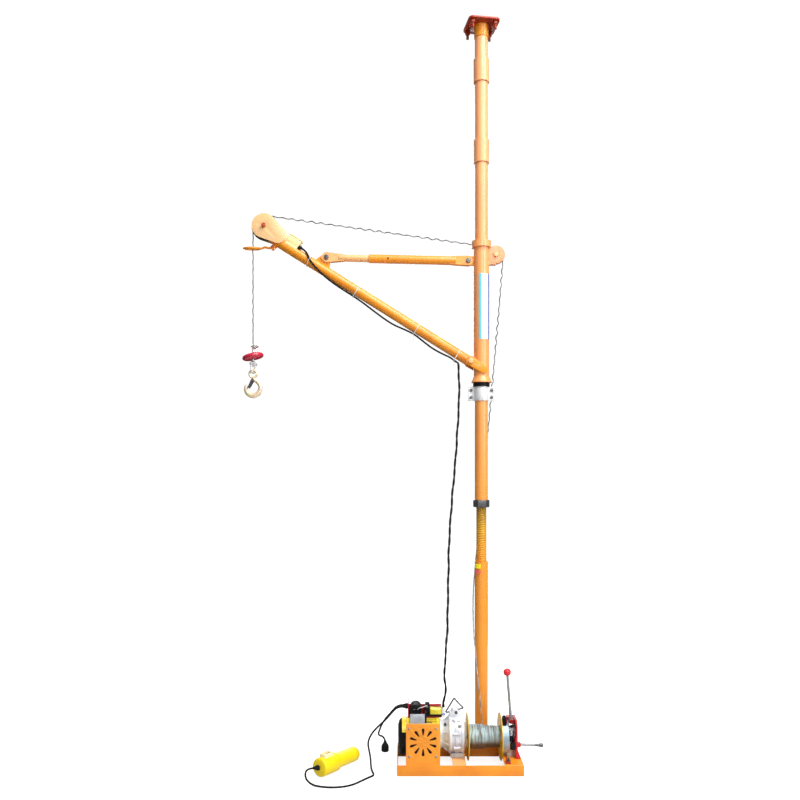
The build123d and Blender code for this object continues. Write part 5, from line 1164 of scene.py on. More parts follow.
class CRANE_OT_cables(bpy.types.Operator):
    """Run the black cables with their ties, glands, connector and plug"""

    bl_idname = "crane.cables"
    bl_label = "Cables"

    def execute(self, context):
        size = sizes()
        plug_at = middle("mains_plug")
        plug = turned(
            [
                (0, 0.0150), (0.002, 0.0166), (0.020, 0.0170), (0.022, 0.0158), (0.026, 0.0158),
                (0.028, 0.0150), (0.034, 0.0104), (0.036, 0.0086), (0.0445, 0.0062), (0.046, 0.0052),
            ],
            (plug_at.x, plug_at.y, 0),
        )
        settle(plug, "mains_plug_body", "base", "black", "mains_plug")
        for name, node, points, length, body, far_end, pieces in (
            ("pendant_cord", "pendant_cable", PENDANT_CABLE, 0.790, "base", "object", []),
            ("mains_cord", "power_lead", POWER_LEAD, 0.282, "base", "plug", [plug]),
            ("boom_cord", "limit_cable_boom", BOOM_CABLE, 0.842, "boom", "object", []),
        ):
            piece = spline_of(name, points, resolution=16)
            piece.data.bevel_depth = size.cable_d / 2
            piece.data.bevel_resolution = 5
            piece.data.use_fill_caps = True
            settle(piece, name, body, "rubber", node)
        step, stray, period = 0.005, 0.0016, 0.13
        line = waved(read_line(CABLE_DROP, step), stray, period)
        swing_z, mast_z = 1.64, 1.1
        sleeve_end, mast_end = below(line, swing_z), below(line, mast_z)
        stretches = [
            (sleeve_end, "boom", "swing", line[1], line[sleeve_end - 2], "rubber"),
            (mast_end, "swing", "mast", line[sleeve_end + 2], line[mast_end - 2], "rubber"),
            (len(line) - 1, "mast", "base", line[mast_end + 2], (-0.158, -0.108, 0.5), "rubber"),
        ]
        cores, groove, mean_share = 2, 0.42, 0.86
        twin = rings_along(line, size.twin_d / 2, cores, size.twin_lay, 20, groove)
        blended_cord(
            "limit_cord", "limit_cable_drop", twin, stretches, cores,
        )
        places = ((832, 5, -29), (586, -27.5, -5), (274, -27.5, -5), (64, -33, -9))
        ties = joined([cable_tie(*place) for place in places])
        settle(ties, "cable_ties", "boom", "white")
        glands = [cable_gland((-0.324, y, 0.242), -X, 0.024, 0.016) for y in (-0.100, -0.076)]
        glands.append(cable_gland(pendant_point(3, 0, 0), (-0.952, -0.303, 0.047), 0.028, 0.021))
        boot = [(0, 0.0062), (0.006, 0.0060), (0.018, 0.0042)]
        glands.append(turned(boot, (-0.173, -0.1035, 0.243), Z, 24))
        settle(joined(glands), "cable_grips", "base", "black", "cable_glands")
        connector = block((-0.180, -0.1135, 0.203), (-0.166, -0.0935, 0.243), 0.0015)
        settle(connector, "limit_connector", "base", "white")
        band = block((-0.1804, -0.1139, 0.212), (-0.1656, -0.0931, 0.219), 0.0006)
        settle(band, "connector_band", "base", "blue")
        return {"FINISHED"}


class CRANE_OT_hook_set(bpy.types.Operator):
    """Model the limit weight with its rope clip, and the forged hook"""

    bl_idname = "crane.hook_set"
    bl_label = "Hook set"

    def execute(self, context):
        x = HOOK_AXIS.x
        weight_z, clip_z, bowl_z = 1.751, 1.795, 1.6085
        tilt = math.radians(13)
        half = [
            (0.0022, 0.0475), (0.0064, 0.0458), (0.0096, 0.0422), (0.0118, 0.0365), (0.0128, 0.0300),
            (0.0125, 0.0105), (0.0085, 0.0075),
        ]
        lean = (-math.sin(tilt), 0, math.cos(tilt))
        weight = turned(mirrored(half), (x, 0, weight_z), lean, 64, bored=True)
        settle(weight, "limit_weight_disc", "hook_block", "weight", "limit_weight")
        saddle = block((x + 0.0005, -0.0095, clip_z - 0.010), (x + 0.0130, 0.0095, clip_z + 0.010), 0.003, 3)
        leg_y = 0.0066
        bend = (
            (0.025, -leg_y), (0.004, -leg_y), (-0.006, -0.0056), (-0.0078, 0), (-0.006, 0.0056),
            (0.004, leg_y), (0.025, leg_y),
        )
        bolt = wire([Vector((x + along, side, clip_z)) for along, side in bend], 0.0027)
        nuts = [
            turned([(0, 0.0056), (0.0046, 0.0056), (0.0054, 0.0048)], (x + 0.013, side, clip_z), X, 6)
            for side in (-leg_y, leg_y)
        ]
        loose = ((0.001, 0.004, 1.782), (0.002, 0.005, 1.79), (0.001, 0.0045, 1.806))
        tail = wire([Vector((x + along, y, z)) for along, y, z in loose], 0.0022)
        clip = joined([saddle, bolt, *nuts, tail])
        settle(clip, "rope_clip", "hook_block", "zinc", "limit_weight")
        bowl_r = 0.0322
        stations = []
        for degrees, share in (
            (149, 0.38), (155, 0.62), (172, 0.80), (195, 0.92), (220, 1.02), (245, 1.10), (270, 1.13),
            (295, 1.10), (320, 1.02), (345, 0.95),
        ):
            angle = math.radians(degrees)
            rise = bowl_z + 0.0025 + bowl_r * math.sin(angle)
            stations.append((Vector((x + bowl_r * math.cos(angle), 0, rise)), share))
        for out, up, share in (
            (0.0325, 0.012, 0.88), (0.025, 0.026, 0.82), (0.012, 0.036, 0.78), (0.003, 0.044, 0.76),
            (0, 0.052, 0.74),
        ):
            stations.append((Vector((x + out, 0, bowl_z + up)), share))
        shank = wire([point for point, _ in stations], 0.0108, [share for _, share in stations])
        eye = turned(
            [
                (-0.006, 0.0130), (-0.0088, 0.0150), (-0.0088, 0.0178), (-0.006, 0.0200), (0, 0.0208),
                (0.006, 0.0200), (0.0088, 0.0178), (0.0088, 0.0150), (0.006, 0.0130), (0, 0.0118),
            ],
            (x, 0, bowl_z + 0.066), Y, 48, bored=True,
        )
        hook = joined([shank, eye])
        modify(hook, "REMESH", mode="VOXEL", voxel_size=0.0011)
        modify(hook, "SMOOTH", iterations=10, factor=0.5)
        edit_all(hook)
        bpy.ops.transform.resize(value=(1, 0.86, 1), center_override=(x, 0, bowl_z))
        bpy.ops.object.mode_set(mode="OBJECT")
        settle(hook, "forged_hook", "hook_set", "hook", "hook", smooth=60)
        return {"FINISHED"}


def boom_place(along, rise, y):
    """A matrix that sets a piece on the boom: its X along the boom, its Z across it."""
    way = (on_boom(1, 0, 0) - on_boom(0, 0, 0)).normalized()
    over = (on_boom(0, 1, 0) - on_boom(0, 0, 0)).normalized()
    turn = Matrix((way, over.cross(way), over)).transposed()
    return Matrix.Translation(on_boom(along, rise, y)) @ turn.to_4x4()


class CRANE_OT_limit_box(bpy.types.Operator):
    """Model the cream limit switch on the boom with its lid, screws and gland, and the lever's ring"""

    bl_idname = "crane.limit_box"
    bl_label = "Limit box"

    def execute(self, context):
        place = boom_place(934, 33, 0)
        shell = block((-0.031, -0.022, -0.012), (0.031, 0.022, 0.019), 0.004, 3)
        lid = block((-0.0305, -0.0215, 0.0195), (0.0305, 0.0215, 0.025), 0.0022, 3)
        cheeks = [
            block((-0.029, y - 0.0015, -0.025), (0.029, y + 0.0015, -0.011)) for y in (-0.0205, 0.0205)
        ]
        box = moved(joined([shell, lid, *cheeks]), place)
        settle(box, "limit_box", "boom", "cream", "limit_switch")
        screws = [
            turned([(0.0245, 0.0026), (0.0255, 0.0026), (0.0262, 0.0018)], (a, y, 0), Z, 16)
            for a in (-0.025, 0.025) for y in (-0.016, 0.016)
        ]
        settle(moved(joined(screws), place), "limit_box_screws", "boom", "zinc")
        ring_r = 0.0378
        ring_at = Vector((low("limit_lever").x + 0.0418, 0, middle("limit_lever").z - 0.002))
        lean = Matrix.Rotation(math.radians(9), 3, "X")
        loop = []
        for n in range(12):
            turn = math.tau * n / 12
            loop.append(ring_at + lean @ Vector((ring_r * math.cos(turn), ring_r * math.sin(turn), 0)))
        pin = Vector((high("limit_lever").x - 0.010, 0, high("limit_lever").z - 0.010))
        neck = ((0.034, 0), (0.046, 0.001), (0.056, 0.007))
        bends = [ring_at + Vector((along, 0, up)) for along, up in neck]
        arm = wire([*bends, pin - Vector((0.020, 0, 0.002)), pin], 0.0048)
        boss = turned(mirrored([(0.011, 0.0095), (0.012, 0.0085)]), pin, Y, 32)
        lever = joined([wire(loop, 0.0046, closed=True), arm, boss])
        settle(lever, "limit_ring", body_of("limit_lever"), "orange", "limit_lever")
        gland = cable_gland(on_boom(903, 28, -14), on_boom(0, 0, 0) - on_boom(1, 0, 0), 0.024, 0.016)
        settle(gland, "limit_box_gland", "boom", "black", "limit_switch")
        return {"FINISHED"}


def tray_gear():
    """The capacitor, contactor, relay, blank plate and leads on the control tray."""
    deck_z, front_y, back_y = 0.203, -0.113, -0.065
    tags_x = (-0.297, -0.283)
    can = turned(
        [
            (0, 0.0215), (0.0012, 0.0236), (0.003, 0.0248), (0.053, 0.0250), (0.055, 0.0241), (0.057, 0.0247),
            (0.0588, 0.0247), (0.060, 0.0232),
        ],
        (-0.290, -0.125, 0.234), Y, 48,
    )
    tags = [
        block((x - 0.003, -0.1285, 0.2380), (x + 0.003, -0.123, 0.2392), 0.0003, 1) for x in tags_x
    ]
    cradle = block((-0.305, front_y, deck_z), (-0.275, back_y, 0.2150), 0.002)
    settle(joined([can, cradle]), "start_capacitor", "base", "black", "switchgear")
    settle(joined(tags), "capacitor_tags", "base", "zinc")
    contactor = [
        block((-0.252, front_y, deck_z), (-0.230, back_y, 0.243), 0.0012),
        block((-0.2520, -0.148, 0.188), (-0.2455, -0.112, 0.232), 0.0015),
        block((-0.2505, -0.110, 0.242), (-0.2315, -0.074, 0.255), 0.0015),
        block((-0.2475, -0.1015, 0.254), (-0.2345, -0.083, 0.2585), 0.0008),
    ]
    settle(joined(contactor), "contactor", "base", "black", "switchgear")
    near_y, far_y = -0.1085, -0.0690
    poles = (-0.2465, -0.2410, -0.2355)
    terminals = [
        turned([(0, 0.0028), (0.0016, 0.0028), (0.0022, 0.0020)], (x, y, 0.2428), Z, 14)
        for x in poles for y in (near_y, far_y)
    ]
    settle(joined(terminals), "contactor_terminals", "base", "zinc")
    foot = block((-0.230, front_y, deck_z), (-0.1802, back_y, 0.2142), 0.0012)
    settle(foot, "relay_foot", "base", "black", "switchgear")
    cover = block((-0.2296, -0.1126, 0.212), (-0.1806, -0.0654, 0.2345), 0.003, 3)
    settle(cover, "relay_cover", "base", "relay_yellow", "switchgear")
    plate_left, plate_right = -0.3150, -0.2540
    plate_front = block((plate_left, -0.1580, 0.184), (plate_right, -0.1562, 0.2290), 0.0005)
    plate_foot = block((plate_left, -0.1570, 0.1985), (plate_right, -0.1120, 0.2003), 0.0005)
    settle(joined([plate_front, plate_foot]), "blank_plate", "base", "pale_plate")
    lead_z, tag_y, tag_z = 0.2445, -0.1280, 0.2386
    lift = Vector((0.002, -0.008, 0.008))
    sag = Vector((0, -0.012, 0.008))
    dip = Vector((0, -0.004, 0.008))
    for n, (start, end, look) in enumerate((
        ((tags_x[0], tag_y, tag_z), (poles[0], near_y, lead_z), "rubber"),
        ((tags_x[1], tag_y, tag_z), (poles[1], near_y, lead_z), "white"),
        ((poles[2], near_y, lead_z), (-0.1760, -0.1120, 0.2380), "rubber"),
    )):
        a, b = Vector(start), Vector(end)
        lead = wire([a, a + lift, (a + b) / 2 + sag, b + dip, b], 0.0012)
        settle(lead, f"tray_lead_{n + 1}", "base", look)


class CRANE_OT_motor(bpy.types.Operator):
    """Model the finned motor, the fan's cowl, the guard's screws and the switchgear on the tray"""

    bl_idname = "crane.motor"
    bl_label = "Motor and tray"

    def execute(self, context):
        size = sizes()
        left, right = low("motor_housing").x, high("motor_housing").x
        long = right - left
        y, z = WINCH.y, WINCH.z
        r = (high("motor_housing").y - low("motor_housing").y) / 2
        inner = r - size.fin_h
        sides = 72
        body = on_winch(
            [
                (0, r - 0.004), (0.003, r), (0.014, r), (0.017, inner), (long - 0.017, inner),
                (long - 0.014, r), (long - 0.003, r), (long, r - 0.004),
            ],
            sides, x=left,
        )
        fin_half, fin_foot, fin_top = 0.0013, z + inner - 0.002, z + r - 0.0006
        fin = block((left + 0.012, y - fin_half, fin_foot), (right - 0.012, y + fin_half, fin_top), 0.0008, 1)
        fins = copies_round(fin, size.fins, WINCH, X, math.radians(6))
        rim_r = 0.0762
        shield = on_winch(
            [(-0.0175, rim_r), (-0.0175, r - 0.001), (-0.0165, r), (0.002, r), (0.002, rim_r)],
            sides, True, left,
        )
        cut_level(shield, 0.160, keep_above=True)
        motor = joined([body, fins, shield])
        settle(motor, "finned_motor", "base", "yellow", "motor_housing")
        cover_r = high("fan_cover").z - z
        hole_r = 0.0140
        cover = on_winch(
            [
                (-0.0320, hole_r), (-0.0320, 0.0540), (-0.0312, 0.0600), (-0.0290, 0.0660), (-0.0250, 0.0712),
                (-0.0195, cover_r - 0.0016), (-0.0140, cover_r), (0, cover_r), (0, hole_r),
            ],
            sides, True, left,
        )
        vane = block(
            (left - 0.0338, y - 0.0022, z + 0.016), (left - 0.0310, y + 0.0022, z + 0.053), 0.0008, 1,
        )
        vanes = copies_round(vane, 16, WINCH, X)
        settle(joined([cover, vanes]), "fan_cowl", "base", "black", "fan_cover")
        front = low("motor_guard").y
        head = [(0, 0.0048), (0.0010, 0.0048), (0.0022, 0.0036), (0.0028, 0.0018)]
        screws = [turned(head, (x, front, up), -Y, 20) for x in (-0.319, -0.210) for up in (0.080, 0.195)]
        settle(joined(screws), "guard_screws", "base", "dull")
        liner = block((-0.3295, front + 0.0036, 0.060), (-0.1965, front + 0.0046, 0.206), 0.0002, 1)
        settle(liner, "guard_liner", "base", "black")
        tray_gear()
        return {"FINISHED"}


class CRANE_OT_gearbox(bpy.types.Operator):
    """Model the gearbox casting with its neck, ears, bolts and ribs, and the lifting ring"""

    bl_idname = "crane.gearbox"
    bl_label = "Gearbox"

    def execute(self, context):
        y = WINCH.y
        middle_z = (low("gearbox_cover").z + high("gearbox_cover").z) / 2
        axis = Vector((0, y, middle_z))
        r = high("gearbox_cover").z - middle_z
        step = r - 0.0045
        casting = turned(
            [
                (-0.190, 0.051), (-0.190, 0.058), (-0.188, 0.060), (-0.183, 0.060), (-0.182, 0.054),
                (-0.172, 0.055), (-0.162, 0.061), (-0.154, 0.070), (-0.152, r - 0.002), (-0.149, r),
                (-0.143, r), (-0.1415, step), (-0.1275, step), (-0.126, r), (-0.117, r), (-0.1155, step),
                (-0.1005, step), (-0.099, r), (-0.092, r), (-0.0885, r - 0.003), (-0.087, r - 0.008),
                (-0.086, 0.050), (-0.080, 0.046), (-0.079, 0.020),
            ],
            axis, X, 80,
        )
        lug_z = 0.226
        neck_top = high("gearbox_case").z - 0.014
        neck = block((-0.149, y - 0.016, middle_z + 0.060), (-0.101, y + 0.016, neck_top), 0.004, 3)
        lug = turned(mirrored([(0.015, 0.016), (0.017, 0.014)]), (-0.125, y, lug_z), Y, 40)
        rib = plate([(-0.180, 0.052), (-0.150, 0.052), (-0.150, 0.075)], 0.005, 0.001)
        turn = Matrix.Translation(axis + Vector((0, 0.0025, 0))) @ Matrix.Rotation(math.pi / 2, 4, "X")
        around = 8
        ribs = copies_round(moved(rib, turn), around, axis, X, math.radians(22))
        ear_turn = math.radians(28)
        rim = axis + Vector((0, 0, r - 0.001))
        ear = turned([(-0.133, 0.0050), (-0.132, 0.0065), (-0.106, 0.0065), (-0.105, 0.0050)], rim, X, 24)
        ears = copies_round(ear, around, axis, X, ear_turn)
        feet = block((-0.146, y - 0.050, 0.046), (-0.092, y + 0.050, middle_z - r + 0.012), 0.003)
        whole = joined([casting, neck, lug, ribs, ears, feet])
        piece = settle(whole, "gearbox_casting", "base", "silver", "gearbox_case")
        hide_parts("gearbox_cover")
        bolt = hex_bolt(rim + Vector((-0.1335, 0, 0)), -X, 0.0045)
        bolts = copies_round(bolt, around, axis, X, ear_turn)
        settle(bolts, "gearbox_bolts", "base", "steel")
        plugs = joined([
            hex_bolt((-0.108, y - 0.0560, middle_z + 0.0505), (0, -1, 1), 0.0065),
            hex_bolt((-0.166, y - 0.0330, middle_z + 0.0480), (-0.2, -0.6, 1), 0.0065, 0.006),
            hex_bolt((-0.120, y - 0.0170, lug_z), -Y, 0.0062, 0.003),
        ])
        settle(plugs, "oil_plugs", "base", "dark_steel")
        corners = (
            (-0.1265, 0.2835), (-0.1215, 0.2750), (-0.0985, 0.2505), (-0.0875, 0.2400), (-0.0960, 0.2377),
            (-0.1130, 0.2333), (-0.1380, 0.2267), (-0.1530, 0.2228), (-0.1615, 0.2206), (-0.1615, 0.2285),
            (-0.1550, 0.2370), (-0.1310, 0.2760),
        )
        ring = wire([Vector((x, -0.110, z)) for x, z in corners], 0.0034, closed=True)
        settle(ring, "lifting_triangle", body_of("lifting_ring"), "dark_steel", "lifting_ring")
        return {"FINISHED"}


class CRANE_OT_drum(bpy.types.Operator):
    """Turn the drum's flanges, core and brake drum"""

    bl_idname = "crane.drum"
    bl_label = "Drum"

    def execute(self, context):
        bore = 0.0135
        r = high("drum").z - WINCH.z
        flange = [
            (0, bore), (0, 0.055), (0.0004, 0.058), (0, r - 0.006), (-0.0003, r - 0.002),
            (0.0004, r - 0.0003), (0.0015, r), (0.0026, r - 0.0003), (0.0033, r - 0.002),
            (0.003, r - 0.006), (0.003, bore),
        ]
        for name, x in (("left_flange", -0.072), ("right_flange", 0.067)):
            settle(on_winch(flange, 96, True, x), f"drum_{name}", "drum_unit", "gold", "drum")
        wide_r, slim_r = 0.0448, 0.0398
        core = on_winch(
            [
                (-0.0695, bore), (-0.0695, wide_r), (-0.0040, wide_r), (-0.0034, slim_r), (0.0675, slim_r),
                (0.0675, bore),
            ],
            64, True,
        )
        settle(core, "drum_core", "drum_unit", "gold", "drum")
        brake_r = 0.065
        brake = on_winch(
            [
                (0.0698, bore), (0.0698, brake_r - 0.001), (0.0708, brake_r), (0.099, brake_r),
                (0.100, brake_r - 0.001), (0.100, brake_r - 0.007), (0.081, brake_r - 0.009), (0.080, 0.030),
                (0.0985, 0.027), (0.100, bore),
            ],
            80, True,
        )
        settle(brake, "brake_drum", "drum_unit", "blued", "drum")
        return {"FINISHED"}


def coil(foot, top, r, turns, wire_r):
    """A helical spring between two points of an upright line."""
    steps = 12
    points = []
    for n in range(steps * turns + 1):
        angle = math.tau * n / steps
        out = Vector((r * math.cos(angle), r * math.sin(angle), 0))
        points.append(foot.lerp(top, n / (steps * turns)) + out)
    return wire(points, wire_r)


class CRANE_OT_brake_gear(bpy.types.Operator):
    """Model the sliding clutch collar, the band's clip and the springs beside the end bracket"""

    bl_idname = "crane.brake_gear"
    bl_label = "Brake gear"

    def execute(self, context):
        bore, groove_r, rim_r = 0.0138, 0.0240, 0.0300
        collar = on_winch(
            [
                (0.1015, bore), (0.1015, 0.0290), (0.1025, rim_r), (0.1075, rim_r), (0.1085, groove_r),
                (0.1145, groove_r), (0.1155, rim_r), (0.1205, rim_r), (0.1215, 0.0290), (0.1215, bore),
            ],
            56, True,
        )
        settle(collar, "clutch_collar", body_of("drum_shaft"), "black")
        clip = joined([
            block((0.0740, -0.1500, 0.1770), (0.0900, -0.1240, 0.2120), 0.002),
            turned([(0, 0.0046), (0.005, 0.0046), (0.006, 0.0040)], (0.082, -0.137, 0.2115), Z, 6),
        ])
        settle(clip, "band_clip", "base", "black")
        strap_front, strap_back = -0.1490, -0.1250
        strap = joined([
            block((0.0905, strap_front, 0.1860), (0.0940, strap_back, 0.2160)),
            block((0.0935, strap_front, 0.2120), (0.1060, strap_back, 0.2160)),
            block((0.1030, strap_front, 0.1980), (0.1060, strap_back, 0.2150)),
        ])
        settle(strap, "band_strap", "base", "dark_red")
        foot_front, foot_back = -0.2240, -0.1960
        foot = joined([
            block((0.0800, foot_front, 0.0440), (0.0980, foot_back, 0.0530)),
            block((0.0800, foot_front, 0.0520), (0.0830, foot_back, 0.0700)),
        ])
        settle(foot, "band_foot", "base", "dark_red")
        foot_bolt = hex_bolt((0.0905, -0.2100, 0.0530), Z, 0.0085, 0.006)
        settle(foot_bolt, "foot_bolt", "base", "dark_steel")
        posts = []
        springs = []
        spring_x, foot_z, top_z, bracket_x = 0.1088, 0.1385, 0.1760, 0.1275
        for y in (-0.158, -0.062):
            foot_at, top_at = Vector((spring_x, y, foot_z)), Vector((spring_x, y, top_z))
            springs.append(coil(foot_at, top_at, 0.0052, 7, 0.0012))
            posts += [
                turned([(-0.004, 0.0075), (0.001, 0.0075), (0.002, 0.0065)], foot_at, Z, 24),
                turned([(-0.002, 0.0065), (-0.001, 0.0075), (0.005, 0.0075)], top_at, Z, 24),
                turned([(-0.056, 0.0026), (0.040, 0.0026), (0.041, 0.0020)], foot_at, Z, 16),
                block((0.108, y - 0.004, top_z + 0.004), (bracket_x, y + 0.004, top_z + 0.008), 0.0008),
                block((0.105, y - 0.010, 0.082), (bracket_x, y + 0.010, 0.108), 0.002),
            ]
        settle(joined(springs), "band_springs", "base", "galvanised")
        settle(joined(posts), "spring_posts", "base", "black")
        return {"FINISHED"}


def lever_eye(pin):
    """The bored boss of a lever on its pin."""
    half = [(0.0055, 0.0110), (0.0065, 0.0100), (0.0065, 0.0045)]
    return turned(mirrored(half), pin, Y, 36, bored=True)


class CRANE_OT_levers(bpy.types.Operator):
    """Model the clutch lever with its red ball and the brake lever with its grip"""

    bl_idname = "crane.levers"
    bl_label = "Levers"

    def execute(self, context):
        ball_r = 0.016
        ball_at = Vector((0.0985, CLUTCH_PIN.y, 0.3925))
        way = (ball_at - CLUTCH_PIN).normalized()
        reach = (ball_at - CLUTCH_PIN).length
        eye = lever_eye(CLUTCH_PIN)
        rod = turned(
            [(0.0085, 0.0064), (0.018, 0.0062), (0.055, 0.0060), (0.060, 0.0053), (reach - 0.012, 0.0052)],
            CLUTCH_PIN, way, 28,
        )
        settle(joined([eye, rod]), "clutch_rod", "clutch_arm", "dull", "clutch_lever")
        angles = [math.radians(degrees) for degrees in range(26, 180, 11)]
        profile = [(ball_r * -math.cos(angle), ball_r * math.sin(angle)) for angle in angles]
        ball = turned([*profile, (ball_r, 0.0006)], ball_at, way, 40)
        settle(ball, "clutch_ball", "clutch_arm", "red_ball", "clutch_lever")
        droop = Vector((1, 0, -0.035))
        eye = lever_eye(BRAKE_PIN)
        rod = turned([(0.0085, 0.0056), (0.014, 0.0052), (0.074, 0.0048)], BRAKE_PIN, droop, 28)
        settle(joined([eye, rod]), "brake_rod", "brake_arm", "dull", "brake_lever")
        grip = turned(
            [
                (0.070, 0.0046), (0.0715, 0.0054), (0.078, 0.0056), (0.084, 0.0062), (0.090, 0.0072),
                (0.095, 0.0082), (0.099, 0.0085), (0.102, 0.0080), (0.1045, 0.0064), (0.1055, 0.0040),
                (0.106, 0.0010),
            ],
            BRAKE_PIN, droop, 32,
        )
        settle(grip, "brake_grip", "brake_arm", "dark_steel", "brake_lever")
        return {"FINISHED"}


def pendant_point(along, side, up):
    """A point of the pendant by its own axes, in millimetres."""
    return PENDANT @ (Vector((along, side, up)) / 1000)


class CRANE_OT_pendant(bpy.types.Operator):
    """Model the yellow pendant that lies on the floor, with its fence and two buttons"""

    bl_idname = "crane.pendant"
    bl_label = "Pendant"

    def execute(self, context):
        body = turned(
            [
                (0, 0.0300), (0.0012, 0.0335), (0.004, 0.0364), (0.008, 0.0378), (0.0495, 0.0380),
                (0.050, 0.0376), (0.0508, 0.0376), (0.0513, 0.0380), (0.098, 0.0378), (0.1015, 0.0362),
                (0.105, 0.0325), (0.109, 0.0306), (0.114, 0.0300), (0.2030, 0.0300), (0.2042, 0.0284),
                (0.2080, 0.0284), (0.2092, 0.0300), (0.2310, 0.0298), (0.2350, 0.0284), (0.2380, 0.0258),
                (0.2394, 0.0220),
            ],
            (0, 0, 0), X, 64,
        )
        fence_top, wall, well = 0.0500, 0.0012, 0.0115
        fence = block((0.0185, -0.0158, 0.026), (0.0695, 0.0158, fence_top), 0.0035, 3)
        select_faces(fence, lambda place, normal: place.z > fence_top - 0.0001 and normal.z > 0.99)
        bpy.ops.mesh.inset(thickness=wall)
        draw_face((0, 0, -well))
        leave_edit()
        settle(moved(fence, PENDANT), "button_fence", "base", "fence", "pendant_upper")
        settle(moved(body, PENDANT), "pendant_body", "base", "pendant", "pendant_lower")
        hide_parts("pendant_upper")
        cap_profile = [
            (-0.0140, 0.0088), (-0.0035, 0.0092), (-0.0022, 0.0095), (-0.0012, 0.0093), (-0.0003, 0.0084),
            (0, 0.0070), (-0.0004, 0.0040), (-0.0006, 0.0008),
        ]
        for node, key, look, slot in (
            ("up_button", "up_key", "green_button", "button_green"),
            ("down_button", "down_key", "red_button", "button_red"),
        ):
            cap = turned(cap_profile, middle(node) + BUTTON_WAY * 0.0073, BUTTON_WAY, 36)
            settle(cap, f"{key}_cap", key, look, node)
        return {"FINISHED"}


# Name, place, aim, width, height and power of each light
LIGHTS = (
    ("key", (3.0, -2.7, 3.5), (-0.1, 0, 2.0), 1.0, 4.4, 145),
    ("strip", (0.6, -4.7, 4.1), (-0.1, 0, 2.2), 1.1, 5.2, 125),
    ("top", (1.0, -1.7, 5.4), (-0.35, -0.3, 1.0), 2.8, 2.2, 165),
    ("rear", (-0.6, 4.6, 3.4), (-0.3, 0, 1.5), 3.2, 3.2, 120),
)
FLOOR_RADIUS = 2.7
FLOOR_MIDDLE = (-0.4, -0.6, 0)
SEEN_SKY = 1.05
SKY_HEIGHTS = (-0.2, 0.5)
SKY_STRENGTHS = (0.06, 0.36)
CAMERA_PLACE = (-0.3577, -3.422, 1.296)
CAMERA_LENS = 35
CAMERA_SENSOR = 36
CAMERA_SHIFT = 0.075


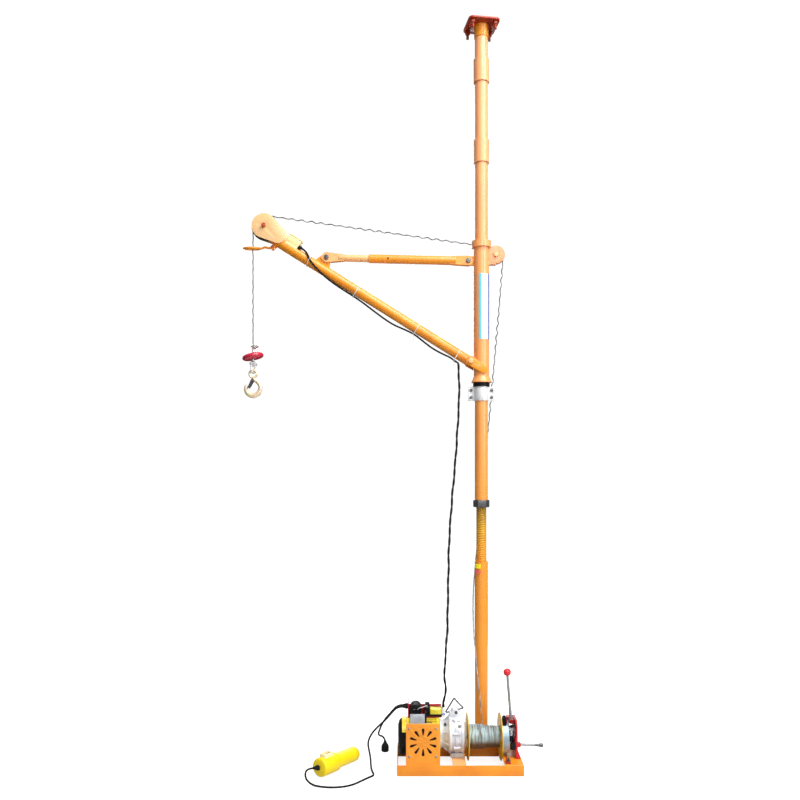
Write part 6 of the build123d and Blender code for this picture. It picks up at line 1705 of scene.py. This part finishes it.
class CRANE_OT_stage(bpy.types.Operator):
    """Set the pale floor, the soft lights and the camera"""

    bl_idname = "crane.stage"
    bl_label = "Stage"

    def execute(self, context):
        clear()
        bpy.ops.mesh.primitive_circle_add(
            vertices=96, radius=FLOOR_RADIUS, location=FLOOR_MIDDLE, fill_type="NGON",
        )
        floor = bake_place(bpy.context.object)
        floor.name = "studio_floor"
        floor.data.materials.append(finish("floor"))
        world = bpy.data.worlds.new("studio")
        context.scene.world = world
        world.use_nodes = True
        nodes = world.node_tree.nodes
        nodes["Background"].inputs["Color"].default_value = (1, 1, 1, 1)
        seen = nodes.new("ShaderNodeMapRange")
        seen.inputs["To Max"].default_value = SEEN_SKY
        sky = nodes.new("ShaderNodeMapRange")
        for key, value in zip(("From Min", "From Max", "To Min", "To Max"), SKY_HEIGHTS + SKY_STRENGTHS):
            sky.inputs[key].default_value = value
        parts = nodes.new("ShaderNodeSeparateXYZ")
        link = world.node_tree.links.new
        link(nodes.new("ShaderNodeTexCoord").outputs["Generated"], parts.inputs["Vector"])
        link(parts.outputs["Z"], sky.inputs["Value"])
        link(sky.outputs["Result"], seen.inputs["To Min"])
        link(nodes.new("ShaderNodeLightPath").outputs["Is Camera Ray"], seen.inputs["Value"])
        link(seen.outputs["Result"], nodes["Background"].inputs["Strength"])
        for name, place, aim, wide, tall, power in LIGHTS:
            bpy.ops.object.light_add(type="AREA", location=place)
            light = bpy.context.object
            light.name = name
            light.data.energy = power
            light.data.shape = "RECTANGLE"
            light.data.size = wide
            light.data.size_y = tall
            light.rotation_euler = (Vector(aim) - Vector(place)).to_track_quat("-Z", "Y").to_euler()
        bpy.ops.object.camera_add(location=CAMERA_PLACE, rotation=(math.pi / 2, 0, 0))
        camera = bpy.context.object
        camera.data.lens = CAMERA_LENS
        camera.data.sensor_width = CAMERA_SENSOR
        camera.data.shift_y = CAMERA_SHIFT
        context.scene.camera = camera
        context.scene.view_settings.view_transform = "Standard"
        return {"FINISHED"}


OPERATORS = (
    CRANE_OT_paintwork, CRANE_OT_column, CRANE_OT_ropes, CRANE_OT_cables, CRANE_OT_hook_set,
    CRANE_OT_limit_box, CRANE_OT_motor, CRANE_OT_gearbox, CRANE_OT_drum, CRANE_OT_brake_gear,
    CRANE_OT_levers, CRANE_OT_pendant, CRANE_OT_stage,
)


class CRANE_PT_pieces(bpy.types.Panel):
    """Lists the crane's pieces and their sizes and colours"""

    bl_idname = "CRANE_PT_pieces"
    bl_label = "Column crane"
    bl_space_type = "VIEW_3D"
    bl_region_type = "UI"
    bl_category = "Crane"

    def draw(self, context):
        for operator in OPERATORS:
            self.layout.operator(operator.bl_idname)
        for group in (context.scene.crane_sizes, context.scene.crane_colours):
            box = self.layout.box()
            for key in group.bl_rna.properties.keys():
                if key not in ("rna_type", "name"):
                    box.prop(group, key)


CLASSES = (CraneSizes, CraneColours, *OPERATORS, CRANE_PT_pieces)


def register():
    """Make the classes and the scene's two groups of values known."""
    for made in CLASSES:
        bpy.utils.register_class(made)
    bpy.types.Scene.crane_sizes = PointerProperty(type=CraneSizes)
    bpy.types.Scene.crane_colours = PointerProperty(type=CraneColours)


def unregister():
    """Take away what register made."""
    del bpy.types.Scene.crane_colours
    del bpy.types.Scene.crane_sizes
    for made in reversed(CLASSES):
        bpy.utils.unregister_class(made)


def main():
    """Make every piece in turn."""
    register()
    bpy.ops.crane.paintwork()
    bpy.ops.crane.column()
    bpy.ops.crane.ropes()
    bpy.ops.crane.cables()
    bpy.ops.crane.hook_set()
    bpy.ops.crane.limit_box()
    bpy.ops.crane.motor()
    bpy.ops.crane.gearbox()
    bpy.ops.crane.drum()
    bpy.ops.crane.brake_gear()
    bpy.ops.crane.levers()
    bpy.ops.crane.pendant()
    bpy.ops.crane.stage()
    clear()


if __name__ == "__main__":
    main()
